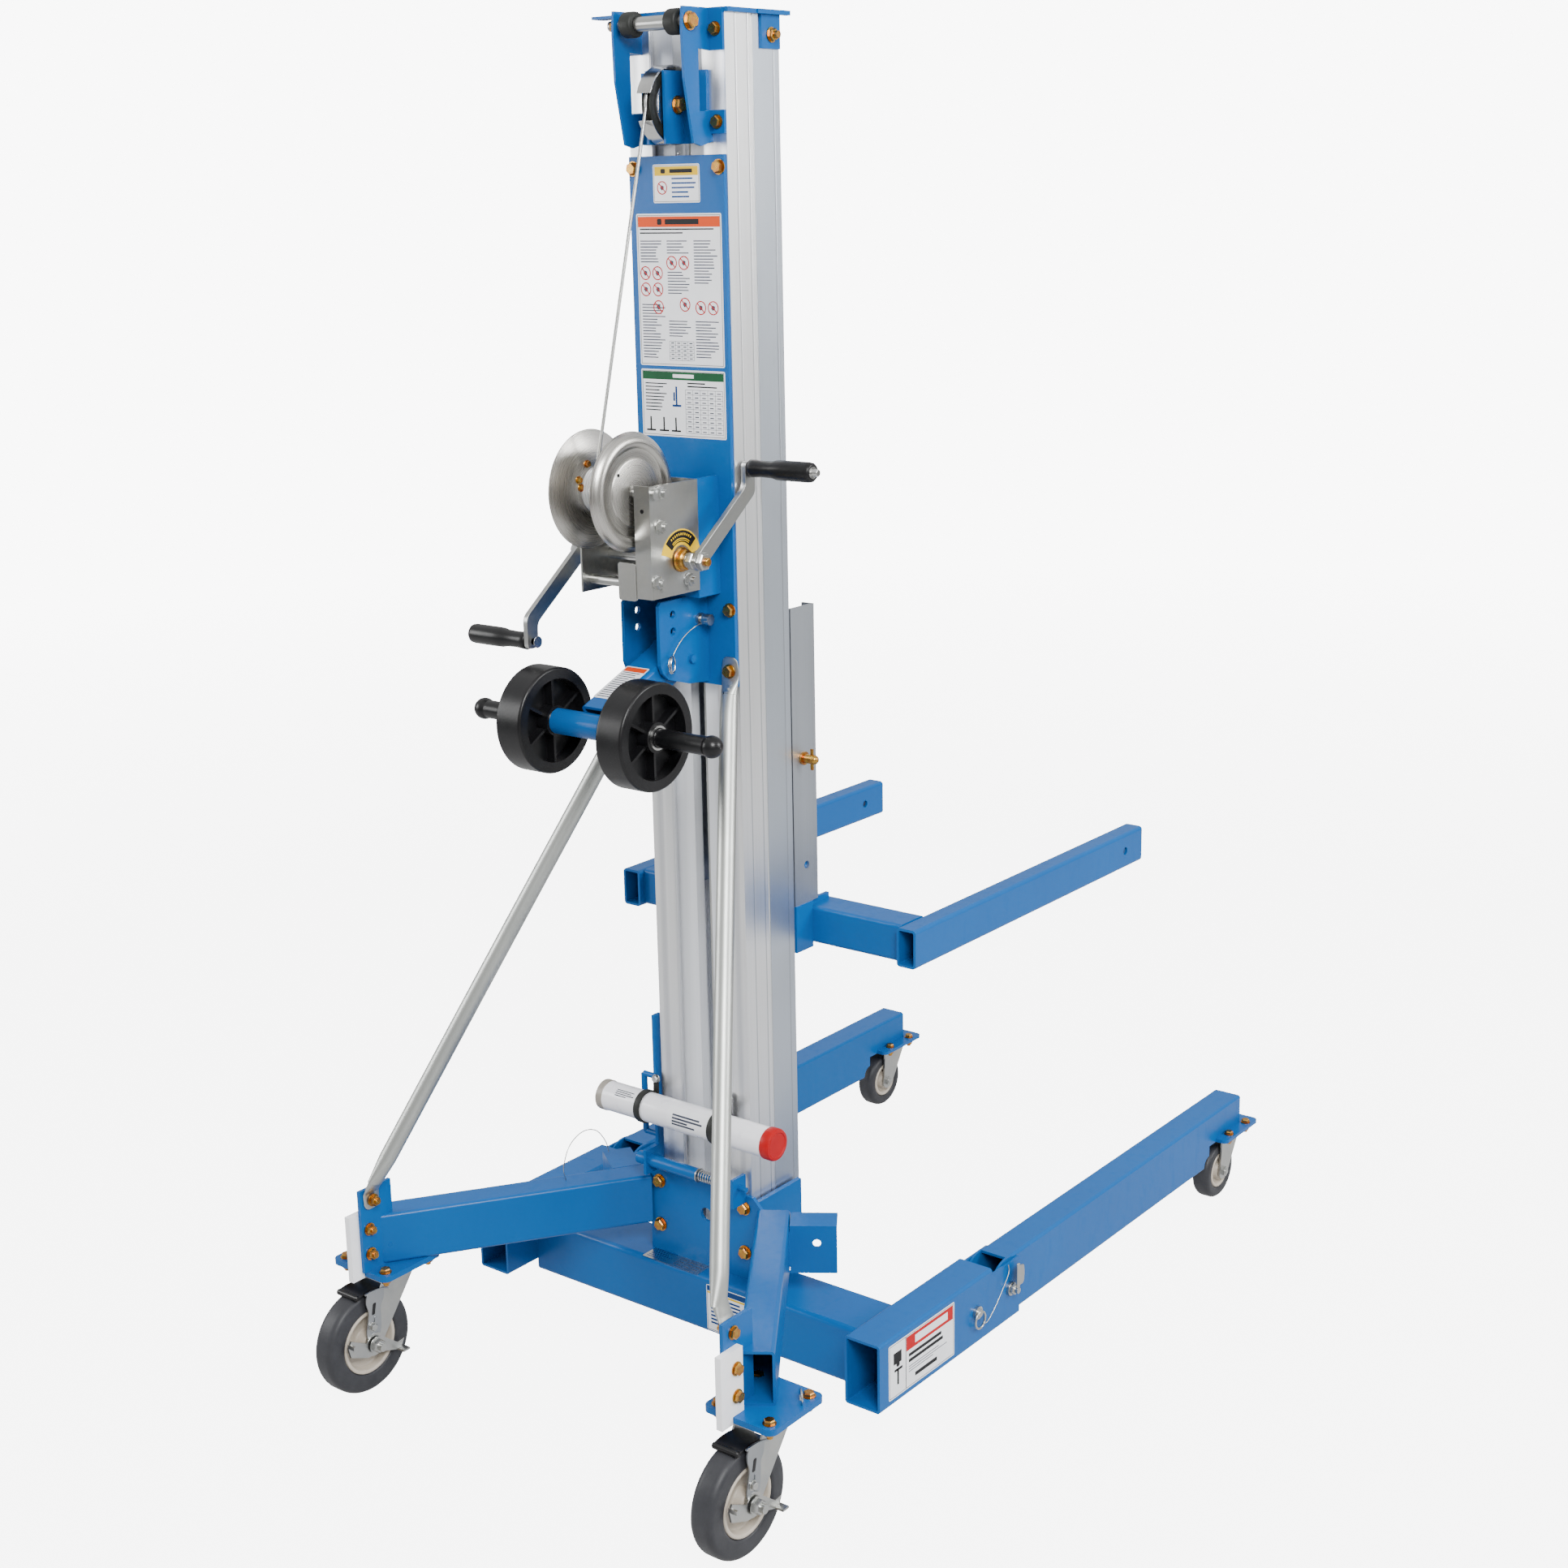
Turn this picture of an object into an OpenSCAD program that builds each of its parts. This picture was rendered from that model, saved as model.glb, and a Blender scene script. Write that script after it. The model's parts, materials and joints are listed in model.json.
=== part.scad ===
/* [Overall] */
// Height from the floor to the top of the mast
mast_top = 1990; // [1600:10:2400]
// Width over the two leg sleeves
base_w = 790; // [740:2:1000]
// Length of each front leg, from its pivot to its tip
leg_len = 778; // [600:2:1000]
// Distance from the mast back to the rear caster swivels
rear_reach = 330; // [280:2:450]

/* [Mast] */
// Width of the mast
mast_w = 172; // [160:1:220]
// Depth of the mast
mast_d = 117; // [112:1:150]
// Wall of the outer mast column
col_t = 5; // [3.5:0.1:6]
// Side gap between neighbouring mast stages
stage_gap = 3; // [2:0.1:4]

/* [Base] */
// Height of the base cross tube
cross_h = 92; // [80:1:120]
// Depth of the base cross tube
cross_d = 100; // [85:1:120]
// Underside of the base cross tube above the floor
cross_z = 60; // [45:1:80]
// Width of a leg sleeve
sleeve_w = 61; // [56:1:80]
// Height of a leg sleeve
sleeve_h = 106; // [92:1:120]
// Wall of a leg sleeve
sleeve_t = 4; // [3:0.1:5]
// Underside of the sleeve above the floor
sleeve_z = 78; // [66:1:92]
// Play between a leg and its sleeve, each side
leg_play = 1; // [0.5:0.1:2]
// Height of an outrigger tube
rig_h = 80; // [60:1:95]
// Width of an outrigger tube
rig_w = 50; // [42:1:60]
// Diameter of a brace tube
brace_d = 26; // [20:0.5:30]

/* [Casters] */
// Diameter of a rear wheel
rear_d = 162; // [125:1:168]
// Tread width of a rear wheel
rear_tread = 38; // [30:1:44]
// Trail of the rear casters
rear_trail = 60; // [44:1:66]
// Diameter of a front wheel
front_d = 102; // [90:1:108]
// Tread width of a front wheel
front_tread = 32; // [26:1:34]
// Trail of the front casters
front_trail = 22; // [16:1:24]

/* [Carriage] */
// Height of the underside of the forks as shown
fork_z = 646; // [600:2:760]
// Length of a fork
fork_len = 676; // [500:5:900]
// Width over both forks
fork_w = 568; // [440:2:570]
// Height of a fork
fork_h = 60; // [50:1:76]
// Width of a fork
fork_t = 34; // [28:1:45]
// Length of the carriage rails
rail_len = 453; // [380:1:560]

/* [Winch] */
// Radius of a crank arm, shaft to grip
crank_r = 160; // [120:1:162]
// Radius of the drum flange and of the gear cover
drum_r = 82; // [70:1:84]
// Diameter of a dolly wheel
dolly_d = 150; // [120:1:152]

/* [Hidden] */
$fn = 64;
run = 0.05;
t_plate = 6;
blue = [0.02, 0.36, 0.68];
alu = [0.78, 0.79, 0.8];
zinc = [0.72, 0.73, 0.72];
gold = [0.78, 0.6, 0.25];
black = [0.05, 0.05, 0.05];
grey = [0.25, 0.26, 0.29];
cream = [0.8, 0.77, 0.7];
white = [0.9, 0.9, 0.9];
red = [0.75, 0.05, 0.06];
// mast, measured from its own centre line; +Y points along the forks
mx = mast_w / 2;
my0 = -60;
my1 = my0 + mast_d;
cross_y = -98;
cross_top = cross_z + cross_h;
foot_y = my0 - t_plate;
col_z = cross_top;
col_top = mast_top - 6;
// nested stages, from outside in
m_x = mx - col_t - stage_gap;
m_t = 4;
m_y0 = my0 + col_t + 6;
m_y1 = my1 - 8;
m_z0 = col_z + 14;
m_z1 = col_top - 10;
i_x = m_x - m_t - stage_gap;
i_t = 4;
i_y0 = m_y0 + m_t + 4;
i_y1 = m_y1 - 8;
i_z0 = m_z0 + 14;
i_z1 = m_z1 - 10;
c_x = i_x - i_t - 1;
c_y0 = i_y0 + i_t + 2;
// sleeves and legs
leg_x = (base_w - sleeve_w) / 2;
leg_w = sleeve_w - 2 * sleeve_t - 2 * leg_play;
leg_h = sleeve_h - 2 * sleeve_t - 2 * leg_play;
leg_zc = sleeve_z + sleeve_h / 2;
pivot_y = 178;
sleeve_y0 = -166;
sleeve_y1 = pivot_y + 27;
lock_y = pivot_y - leg_h / 2 - 46;
pin_r = 6;
front_y = pivot_y + leg_len - 28;
front_plate_z = front_d + 20;
leg_cut_y = front_y - front_d / 2 - front_trail - 14;
tip_y = front_y + 61;
// rear casters and outriggers
rig_z = 197;
cast_x = base_w / 2 - 30;
cast_y = my0 - rear_reach;
cast_t = 8;
cast_s = 118;
rig_a = [125, -57];
rig_b = [cast_x + 2.5, cast_y - 17];
rig_len = norm(rig_b - rig_a);
rig_ang = atan2(rig_b[1] - rig_a[1], rig_b[0] - rig_a[0]);
rig_side = mx + 12;
wing = rig_side + 14;
end_x = cast_x - 21;
end_top = rig_z + rig_h + 52;
brace_low = [end_x - 16, cast_y - 43, end_top - 18];
brace_high = [mx - 10, foot_y - 16, 1092];
// operator side
plate_w = 168;
plate_z0 = 1075;
plate_z1 = mast_top - 187;
ped_z0 = 1208;
bolt_x = [-mx - 6, mx - 10];
ped_z1 = 1374;
ped_y = -113;
drum_y = -204;
drum_z = 1363;
drum_x0 = -58;
drum_x1 = 14;
core_r = 26;
gear_r = 80;
pin_gear_r = 27;
shaft_y = drum_y + 52;
shaft_z = drum_z - 95;
shaft_r = 8;
crank_ang = 46;
sheave_y = -78;
sheave_z = mast_top - 122;
sheave_r = 46;
rope_r = 2.5;
wrap_r = sheave_r - 1;
rope_y = sheave_y + wrap_r;
roll_y = -103;
roll_z = mast_top - 18;
roll_r = 17;
dolly_py = -104;
dolly_pz = 1118;
axle_y = -274;
axle_z = 1048;
dolly_x = 92;
dolly_tread = 46;
// carriage
fork_x = fork_w / 2 - fork_t / 2;
fork_y = 89;
rail_z = fork_z + 69;
rail_y1 = my1 + 60;
beam_y = fork_y + 11;
// whole machine, centred front to back on the floor
rear_end = cast_y - rear_trail - rear_d / 2;
shift_y = -(rear_end + tip_y) / 2;

module rrect(w, h, r) {
  translate([-w / 2 + r, -h / 2]) square([w - 2 * r, h]);
  translate([-w / 2, -h / 2 + r]) square([w, h - 2 * r]);
  for (x = [-w / 2 + r, w / 2 - r], y = [-h / 2 + r, h / 2 - r]) translate([x, y]) circle(r = r);
}
// hollow rectangular tube along +Z, size w by h
module rtube(w, h, l, t, r) {
  difference() {
    linear_extrude(l) rrect(w, h, r);
    translate([0, 0, -1]) linear_extrude(l + 2) rrect(w - 2 * t, h - 2 * t, max(r - t, 0.6));
  }
}
module tube_y(w, h, l, t, r) { rotate([-90, 0, 0]) rtube(w, h, l, t, r); }
module tube_x(w, h, l, t, r) { rotate([90, 0, 90]) rtube(w, h, l, t, r); }
module box(a, b) { translate(a) cube(b - a); }
module cyl_x(p, l, r) { translate(p) rotate([0, 90, 0]) cylinder(h = l, r = r); }
module cyl_y(p, l, r) { translate(p) rotate([-90, 0, 0]) cylinder(h = l, r = r); }
module cyl_z(p, l, r) { translate(p) cylinder(h = l, r = r); }
module rod(p, q, r) {
  d = q - p;
  translate(p) rotate([0, acos(d[2] / norm(d)), atan2(d[1], d[0])]) cylinder(h = norm(d), r = r);
}
module left() { mirror([1, 0, 0]) children(); }
module place() { translate([0, shift_y, 0]) children(); }

// ---- base ----
module cross_tube() {
  color(blue) translate([-leg_x + sleeve_w / 2, cross_y + cross_d / 2, cross_z + cross_h / 2])
    tube_x(cross_d, cross_h, 2 * leg_x - sleeve_w, 5, 8);
}
module foot_plate() {
  color(blue) {
    difference() {
      union() {
        translate([0, my0, cross_top]) rotate([90, 0, 0]) linear_extrude(t_plate)
          polygon([[-wing, 0], [wing, 0], [wing, 118], [wing - 20, 138], [-wing, 138]]);
        for (s = [-1, 1]) translate([s * (rig_side - 4), 0, 0])
          box([-4, foot_y, cross_top], [4, my1 - 10, cross_top + 130]);
        box([-rig_side, foot_y, cross_top], [-rig_side + 5, my0 + 10, cross_top + 390]);
        box([-rig_side, foot_y - 30, 290], [-rig_side + 5, foot_y + 1, 330]);
      }
      cyl_y([0, foot_y - 1, cross_top + 86], 20, 11);
      for (x = bolt_x, z = [45, 118]) cyl_y([x, foot_y - 1, cross_top + z], 20, 5.5);
      cyl_x([-rig_side - 1, -82, 310], 12, 10);
    }
    difference() {
      box([74, foot_y - 30, 280], [79, foot_y + 1, 326]);
      cyl_x([70, -82, 310], 20, 4.1);
    }
    for (z = [345, 440]) cyl_x([-rig_side - 24, foot_y + 6, z], 25, 4.5);
    cyl_z([-rig_side - 24, foot_y + 6, 345], 95, 5);
  }
}
module sleeve() {
  iw = sleeve_w - 2 * sleeve_t;
  ih = sleeve_h - 2 * sleeve_t;
  color(blue) translate([leg_x, 0, leg_zc]) difference() {
    translate([0, sleeve_y0, 0]) tube_y(sleeve_w, sleeve_h, sleeve_y1 - sleeve_y0, sleeve_t, 5);
    box([-sleeve_w, pivot_y - leg_h / 2 - 3, ih / 2 - 6], [sleeve_w, sleeve_y1 + 1, sleeve_h]);
    cyl_x([-sleeve_w, pivot_y, 0], 2 * sleeve_w, pin_r + run);
    cyl_x([-sleeve_w, lock_y, 0], 2 * sleeve_w, pin_r + run);
  }
}
module sleeve_right() { sleeve(); }
module sleeve_left() { left() sleeve(); }
module rig_tube() {
  translate([rig_a[0], rig_a[1], rig_z + rig_h / 2]) rotate([0, 0, rig_ang - 90])
    tube_y(rig_w, rig_h, rig_len, 4, 6);
}
module outrigger() {
  color(blue) {
    rig_tube();
    // leg storage bracket on the outer side of the tube
    translate([rig_a[0], rig_a[1], rig_z]) rotate([0, 0, rig_ang - 90]) {
      difference() {
        box([-rig_w / 2 - 71, 46, 2], [-rig_w / 2 - 1, 50, rig_h - 2]);
        cyl_y([-rig_w / 2 - 41, 40, 50], 20, 6.5);
      }
      box([-rig_w / 2 - 71, 4, rig_h - 6], [-rig_w / 2 - 1, 47, rig_h - 2]);
      box([-rig_w / 2 - 2, 6, 12], [-rig_w / 2 + 2, 50, rig_h - 12]);
      box([-rig_w / 2 - 2, 6, rig_h - 16], [-rig_w / 2 - 1, 47, rig_h - 3]);
    }
    // caster plate and end plate
    difference() {
      translate([cast_x, cast_y, rig_z - cast_t]) linear_extrude(cast_t + 0.6) rrect(cast_s, cast_s, 12);
      for (x = [-43, 43], y = [-43, 43]) cyl_z([cast_x + x, cast_y + y, rig_z - cast_t - 1], 11, 5);
    }
    difference() {
      box([end_x, cast_y - 64, rig_z], [end_x + t_plate, cast_y - 2, end_top]);
      cyl_x([end_x - 1, cast_y - 43, end_top - 18], 10, 5.5);
      for (z = [28, 68]) cyl_x([end_x - 1, cast_y - 50, rig_z + z], 10, 5);
    }
  }
}
module outrigger_right() { outrigger(); }
module outrigger_left() { left() outrigger(); }
module wear_pads() {
  color(white) for (s = [0, 1]) mirror([s, 0, 0]) difference() {
    union() {
      box([end_x + t_plate, cast_y - 82, rig_z + 1], [end_x + t_plate + 10, cast_y - 36, rig_z + 95]);
      box([end_x + t_plate, cast_y - 82, rig_z - 10], [end_x + t_plate + 10, cast_y - 59.5, rig_z + 2]);
    }
    for (z = [28, 68]) cyl_x([end_x, cast_y - 50, rig_z + z], 30, 5);
  }
}
module brace() {
  color(zinc) difference() {
    union() {
      rod(brace_high + [4, -6, -22], brace_low + [-2, 4, 22], brace_d / 2);
      box([brace_high[0] - 15, foot_y - 4, brace_high[2] - 24], [brace_high[0] + 15, foot_y, brace_high[2] + 12]);
      cyl_y([brace_high[0], foot_y - 4, brace_high[2] + 12], 4, 15);
      box([brace_high[0] - 12, foot_y - 26, brace_high[2] - 34], [brace_high[0] + 12, foot_y, brace_high[2] - 22]);
      box([end_x - 4, cast_y - 57, end_top - 18], [end_x, cast_y - 29, end_top + 16]);
      cyl_x([end_x - 4, cast_y - 43, end_top - 18], 4, 14);
      box([end_x - 24, cast_y - 54, end_top + 2], [end_x, cast_y - 32, end_top + 14]);
    }
    cyl_y([brace_high[0], foot_y - 30, brace_high[2] + 6], 60, 5.5);
    cyl_x([end_x - 30, cast_y - 43, end_top - 18], 60, 5.5);
  }
}
module brace_right() { brace(); }
module brace_left() { left() brace(); }

// ---- folding legs ----
module leg() {
  color(blue) translate([leg_x, 0, leg_zc]) {
    difference() {
      union() {
        translate([0, pivot_y, 0]) tube_y(leg_w, leg_h, tip_y - 34 - pivot_y, 4, 5);
        for (s = [-1, 1]) translate([s * (leg_w / 2 - 2), pivot_y, 0]) rotate([0, 90, 0])
          cylinder(h = 4, r = leg_h / 2, center = true);
        box([-leg_w / 2, leg_cut_y - 6, front_plate_z - leg_zc], [leg_w / 2, leg_cut_y, leg_h / 2 - 5]);
      }
      box([-leg_w, leg_cut_y, -leg_h], [leg_w, tip_y + 1, front_plate_z - leg_zc + 0.1]);
      rotate([0, 90, 0]) translate([-(front_plate_z - leg_zc - 36), leg_cut_y, -leg_w])
        cylinder(h = 2 * leg_w, r = 18);
      cyl_x([-leg_w, pivot_y, 0], 2 * leg_w, pin_r + run);
    }
    difference() {
      translate([0, (leg_cut_y + 24 + tip_y) / 2, front_plate_z - leg_zc])
        linear_extrude(6) rrect(92, tip_y - leg_cut_y - 24, 10);
      for (x = [-35, 35], y = [-32, 32]) cyl_z([x, front_y + y, front_plate_z - leg_zc - 1], 10, 4.5);
    }
  }
}
module leg_right() { leg(); }
module leg_left() { left() leg(); }
module pivot_pins() {
  color(zinc) for (s = [0, 1]) mirror([s, 0, 0]) {
    cyl_x([leg_x - sleeve_w / 2 - 4, pivot_y, leg_zc], sleeve_w + 12, pin_r);
    cyl_x([leg_x - sleeve_w / 2 - 7, pivot_y, leg_zc], 7, 11);
    cyl_x([leg_x + sleeve_w / 2, pivot_y, leg_zc], 4, 11);
  }
}
module lock_pin() {
  color(zinc) {
    cyl_x([leg_x - sleeve_w / 2 - 6, lock_y, leg_zc], sleeve_w + 14, pin_r);
    cyl_x([leg_x + sleeve_w / 2, lock_y, leg_zc], 5, 10);
    translate([leg_x + sleeve_w / 2 + 7, lock_y, leg_zc - 11]) rotate([90, 0, 90])
      rotate_extrude() translate([13, 0]) circle(r = 1.8, $fn = 24);
  }
}
module lock_pin_right() { lock_pin(); }
module lock_pin_left() { left() lock_pin(); }

// ---- casters ----
// the wheel axle sits behind the swivel axis by the trail
module yoke(d, tread, trail, top, r_ax) {
  hz = d / 2;
  inner = tread / 2 + 3;
  for (s = [-1, 1]) difference() {
    union() {
      translate([s * (inner + 1.5), 0, 0]) rotate([90, 0, 90]) linear_extrude(3, center = true)
        polygon([[-trail - 15, hz - 4], [-trail + 15, hz - 8], [34, top - 12], [34, top - 7],
                 [-30, top - 7], [-trail - 12, hz + 12]]);
      cyl_x([s * (inner + 1.5) - 1.5, -trail, hz], 3, 15);
    }
    cyl_x([-60, -trail, hz], 120, r_ax);
  }
  translate([0, 2, top - 7]) cylinder(h = 4, r = inner + 13);
  cyl_x([-inner - 9, -trail, hz], 2 * inner + 18, r_ax);
  for (s = [-1, 1]) translate([s * (inner + 5.5), -trail, hz]) rotate([0, 90, 0])
    cylinder(h = 5, r = 9, center = true, $fn = 6);
}
module tyre(d, tread) {
  rotate([0, 90, 0]) rotate_extrude() difference() {
    translate([d / 2 - 0.18 * d, -tread / 2]) square([0.18 * d, tread]);
    for (s = [-1, 1]) translate([d / 2, s * tread / 2]) rotate(45) square(7, center = true);
  }
}
module hub(d, tread, r_ax) {
  rotate([0, 90, 0]) rotate_extrude() {
    translate([0.27 * d, -tread / 2 + 1]) square([0.05 * d, tread - 2]);
    translate([r_ax + run, -tread / 2 - 1]) square([10, tread + 2]);
    translate([r_ax + 9, -4]) square([0.27 * d - r_ax - 8, 8]);
  }
}
module pedal() {
  difference() {
    union() {
      rotate([90, 0, 90]) linear_extrude(3)
        polygon([[-52, 14], [-46, 24], [-16, 8], [14, 8], [44, -16], [58, -14], [50, -30], [14, -18],
                 [-16, -16], [-48, -2]]);
      rotate([0, 90, 0]) cylinder(h = 3, r = 18);
      box([0, 44, -29], [16, 57, -26]);
      box([0, -51, 14], [14, -47.5, 20]);
    }
    rotate([0, 90, 0]) translate([0, 0, -1]) cylinder(h = 6, r = 10.6);
  }
}
module rear_yoke_right() {
  color(zinc) translate([cast_x, cast_y, 0]) {
    yoke(rear_d, rear_tread, rear_trail, rig_z - cast_t, 6);
    cylinder_stub();
  }
}
module cylinder_stub() { cyl_z([0, 0, rig_z - cast_t - 3.4], 3, 26); }
module rear_yoke_left() {
  color(zinc) translate([-cast_x, cast_y, 0]) {
    yoke(rear_d, rear_tread, rear_trail, rig_z - cast_t, 6);
    cylinder_stub();
  }
}
module rear_tyre(x) { color(grey) translate([x, cast_y - rear_trail, rear_d / 2]) tyre(rear_d, rear_tread); }
module rear_hub(x) { color(cream) translate([x, cast_y - rear_trail, rear_d / 2]) hub(rear_d, rear_tread, 6); }
module rear_tyre_right() { rear_tyre(cast_x); }
module rear_tyre_left() { rear_tyre(-cast_x); }
module rear_hub_right() { rear_hub(cast_x); }
module rear_hub_left() { rear_hub(-cast_x); }
module brake_pedal(x) {
  color(zinc) translate([x + rear_tread / 2 + 3 + 3.4, cast_y - rear_trail, rear_d / 2]) pedal();
}
module brake_pedal_right() { brake_pedal(cast_x); }
module brake_pedal_left() { brake_pedal(-cast_x); }
module front_yoke(x) {
  color(zinc) translate([x, front_y, 0]) {
    yoke(front_d, front_tread, front_trail, front_plate_z, 5);
    cyl_z([0, 0, front_plate_z - 3.4], 3, 20);
  }
}
module front_yoke_right() { front_yoke(leg_x); }
module front_yoke_left() { front_yoke(-leg_x); }
module front_tyre(x) { color(grey) translate([x, front_y - front_trail, front_d / 2]) tyre(front_d, front_tread); }
module front_hub(x) { color(cream) translate([x, front_y - front_trail, front_d / 2]) hub(front_d, front_tread, 5); }
module front_tyre_right() { front_tyre(leg_x); }
module front_tyre_left() { front_tyre(-leg_x); }
module front_hub_right() { front_hub(leg_x); }
module front_hub_left() { front_hub(-leg_x); }

// ---- mast stages ----
module column_2d() {
  translate([mx - col_t, my0]) square([col_t, mast_d]);
  translate([46, my0]) square([mx - 46, col_t]);
  translate([49, my0 + 4.5]) circle(r = 4.5);
  translate([mx - 14, my1 - col_t]) square([14, col_t]);
  translate([mx - 0.5, -2]) circle(r = 1.5);
}
module outer_column() {
  color(alu) difference() {
    translate([0, 0, col_z]) linear_extrude(col_top - col_z) column_2d();
    for (z = [45, 118]) cyl_y([mx - 10, my0 - 1, cross_top + z], 8, 5.5);
  }
}
module outer_column_right() { outer_column(); }
module outer_column_left() { left() outer_column(); }
module stage_2d(x, t, y0, y1, gap, lip) {
  for (s = [0, 1]) mirror([s, 0]) {
    translate([x - t, y0]) square([t, y1 - y0]);
    translate([gap, y0]) square([x - gap, t]);
    translate([gap, y0]) square([t, 18]);
    translate([(gap + x) / 2, y0 + t]) circle(r = 3.2);
    translate([x - lip, y1 - t]) square([lip, t]);
  }
}
module mid_mast() {
  color(alu) {
    translate([0, 0, m_z0]) linear_extrude(m_z1 - m_z0) stage_2d(m_x, m_t, m_y0, m_y1, 14, 14);
    difference() {
      box([-m_x, m_y0, m_z0 - 8], [m_x, m_y1, m_z0]);
      cyl_z([0, rope_y, m_z0 - 10], 20, 6);
    }
  }
}
module inner_mast() {
  color(alu) {
    translate([0, 0, i_z0]) linear_extrude(i_z1 - i_z0) stage_2d(i_x, i_t, i_y0, i_y1, 22, 13);
    difference() {
      box([-i_x, i_y0, i_z0 - 8], [i_x, i_y1, i_z0]);
      box([-21, i_y0 - 1, i_z0 - 10], [21, i_y0 + 20, i_z0 + 1]);
    }
  }
}
module carriage_rails() {
  c_y1 = i_y1 - i_t - 2;
  neck = i_x - 13 - 2;
  color(alu) {
    for (s = [0, 1]) mirror([s, 0, 0]) difference() {
      union() {
        box([30, c_y0 + 20, rail_z + 40], [c_x, c_y1, rail_z + rail_len - 20]);
        box([30, c_y1 - 1, rail_z + 40], [neck, my1 + 3, rail_z + rail_len - 20]);
        box([mx - 4, my1 + 3, rail_z], [mx, rail_y1, rail_z + rail_len]);
        box([mx - 28, my1 + 3, rail_z], [mx, my1 + 7, rail_z + rail_len]);
        box([mx - 20, rail_y1 - 4, rail_z], [mx, rail_y1, rail_z + rail_len]);
      }
      cyl_x([mx - 6, 90, rail_z + 59], 10, 6);
      cyl_x([mx - 6, 86, rail_z + 225], 10, 7 + run);
    }
    box([-mx + 20, my1 + 3, rail_z + 40], [mx - 20, my1 + 7, rail_z + rail_len - 20]);
  }
}
module carriage_frame() {
  color(blue) {
    for (s = [0, 1]) mirror([s, 0, 0]) {
      box([mx - 4, my1 + 3, fork_z - 4], [mx + 2, beam_y + 1, rail_z]);
      box([mx - 10, my1 + 8, rail_z - 10], [mx - 4, rail_y1 - 6, rail_z + 90]);
      box([mx - 10, beam_y, fork_z + 59], [mx - 4, beam_y + 50, rail_z]);
    }
    translate([-fork_x + fork_t / 2, beam_y + 30, fork_z + 31]) tube_x(60, 58, 2 * fork_x - fork_t, 4, 6);
    box([-mx + 4, my1 + 8, fork_z + 6], [mx - 4, beam_y + 1, fork_z + 14]);
  }
}
module fork() {
  color(blue) translate([fork_x, fork_y, fork_z + fork_h / 2]) difference() {
    tube_y(fork_t, fork_h, fork_len, 4, 6);
    cyl_x([-fork_t, fork_len - 56, 0], 2 * fork_t, 6.5);
  }
}
module fork_right() { fork(); }
module fork_left() { left() fork(); }
module rail_pin() {
  color(gold) {
    cyl_x([mx - 14, 86, rail_z + 225], 34, 7);
    translate([mx + 20, 86, rail_z + 225]) sphere(r = 7);
    box([mx + 14, 84.5, rail_z + 209], [mx + 18, 87.5, rail_z + 241]);
    cyl_x([mx + 0.2, 86, rail_z + 225], 3, 10);
  }
}

// ---- mast head ----
module top_bracket() {
  open_x = m_x + 2;
  color(blue) {
    box([-mx - 2, my0 - 2, col_top], [mx + 8, m_y0 - 3, mast_top]);
    box([-mx - 2, my0 - 2, col_top], [-open_x, my1 - 1, mast_top]);
    box([open_x, my0 - 2, col_top], [mx + 8, my1 - 1, mast_top]);
    box([mx + 2, 0, col_top], [mx + 10, my1 + 14, mast_top]);
    box([mx, 14, mast_top - 50], [mx + 4, my1 - 2, mast_top - 1]);
    for (s = [0, 1]) mirror([s, 0, 0]) {
      rotate([90, 0, 90]) translate([0, 0, 58]) linear_extrude(4) difference() {
        polygon([[my0, mast_top], [-116, mast_top], [-118, mast_top - 30], [-116, mast_top - 90],
                 [-100, mast_top - 172], [-84, mast_top - 176], [my0, mast_top - 170],
                 [my0, mast_top - 130], [-86, mast_top - 132], [-86, mast_top - 52], [my0, mast_top - 54]]);
        translate([roll_y, roll_z]) circle(r = 7);
      }
      for (z = [[-54, 0], [-160, -130]])
        box([61, my0 - 5, mast_top + z[0]], [mx, my0, mast_top + z[1]]);
    }
    box([-98, -116, mast_top - 9], [-60, -92, mast_top - 5]);
  }
}
module roller_shaft() {
  color(zinc) {
    cyl_x([-76, roll_y, roll_z], 146, 6.9);
    for (x = [[-55, 5], [-27.5, 55], [50, 7]]) cyl_x([x[0], roll_y, roll_z], x[1], 9.5);
  }
}
module top_roller() {
  rotate([0, 90, 0]) rotate_extrude() translate([6.9 + run, -10.5]) square([roll_r - 6.9 - run, 21]);
}
module top_roller_right() { color(black) translate([38.7, roll_y, roll_z]) top_roller(); }
module top_roller_left() { color(black) translate([-38.7, roll_y, roll_z]) top_roller(); }
module sheave() {
  color(black) translate([0, sheave_y, sheave_z]) rotate([0, 90, 0]) rotate_extrude() difference() {
    translate([8 + run, -8]) square([sheave_r - 8, 16]);
    translate([sheave_r + 1.4, 0]) circle(r = 5);
  }
}
module sheave_guard() {
  color(blue) {
    for (s = [0, 1]) mirror([s, 0, 0]) {
      box([13, my0 - 6, sheave_z - 50], [57, my0, sheave_z + 44]);
      box([13, sheave_y - 26, sheave_z - 50], [17, my0 - 5, sheave_z + 44]);
    }
    cyl_x([-22, sheave_y, sheave_z], 44, 8);
  }
}

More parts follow.
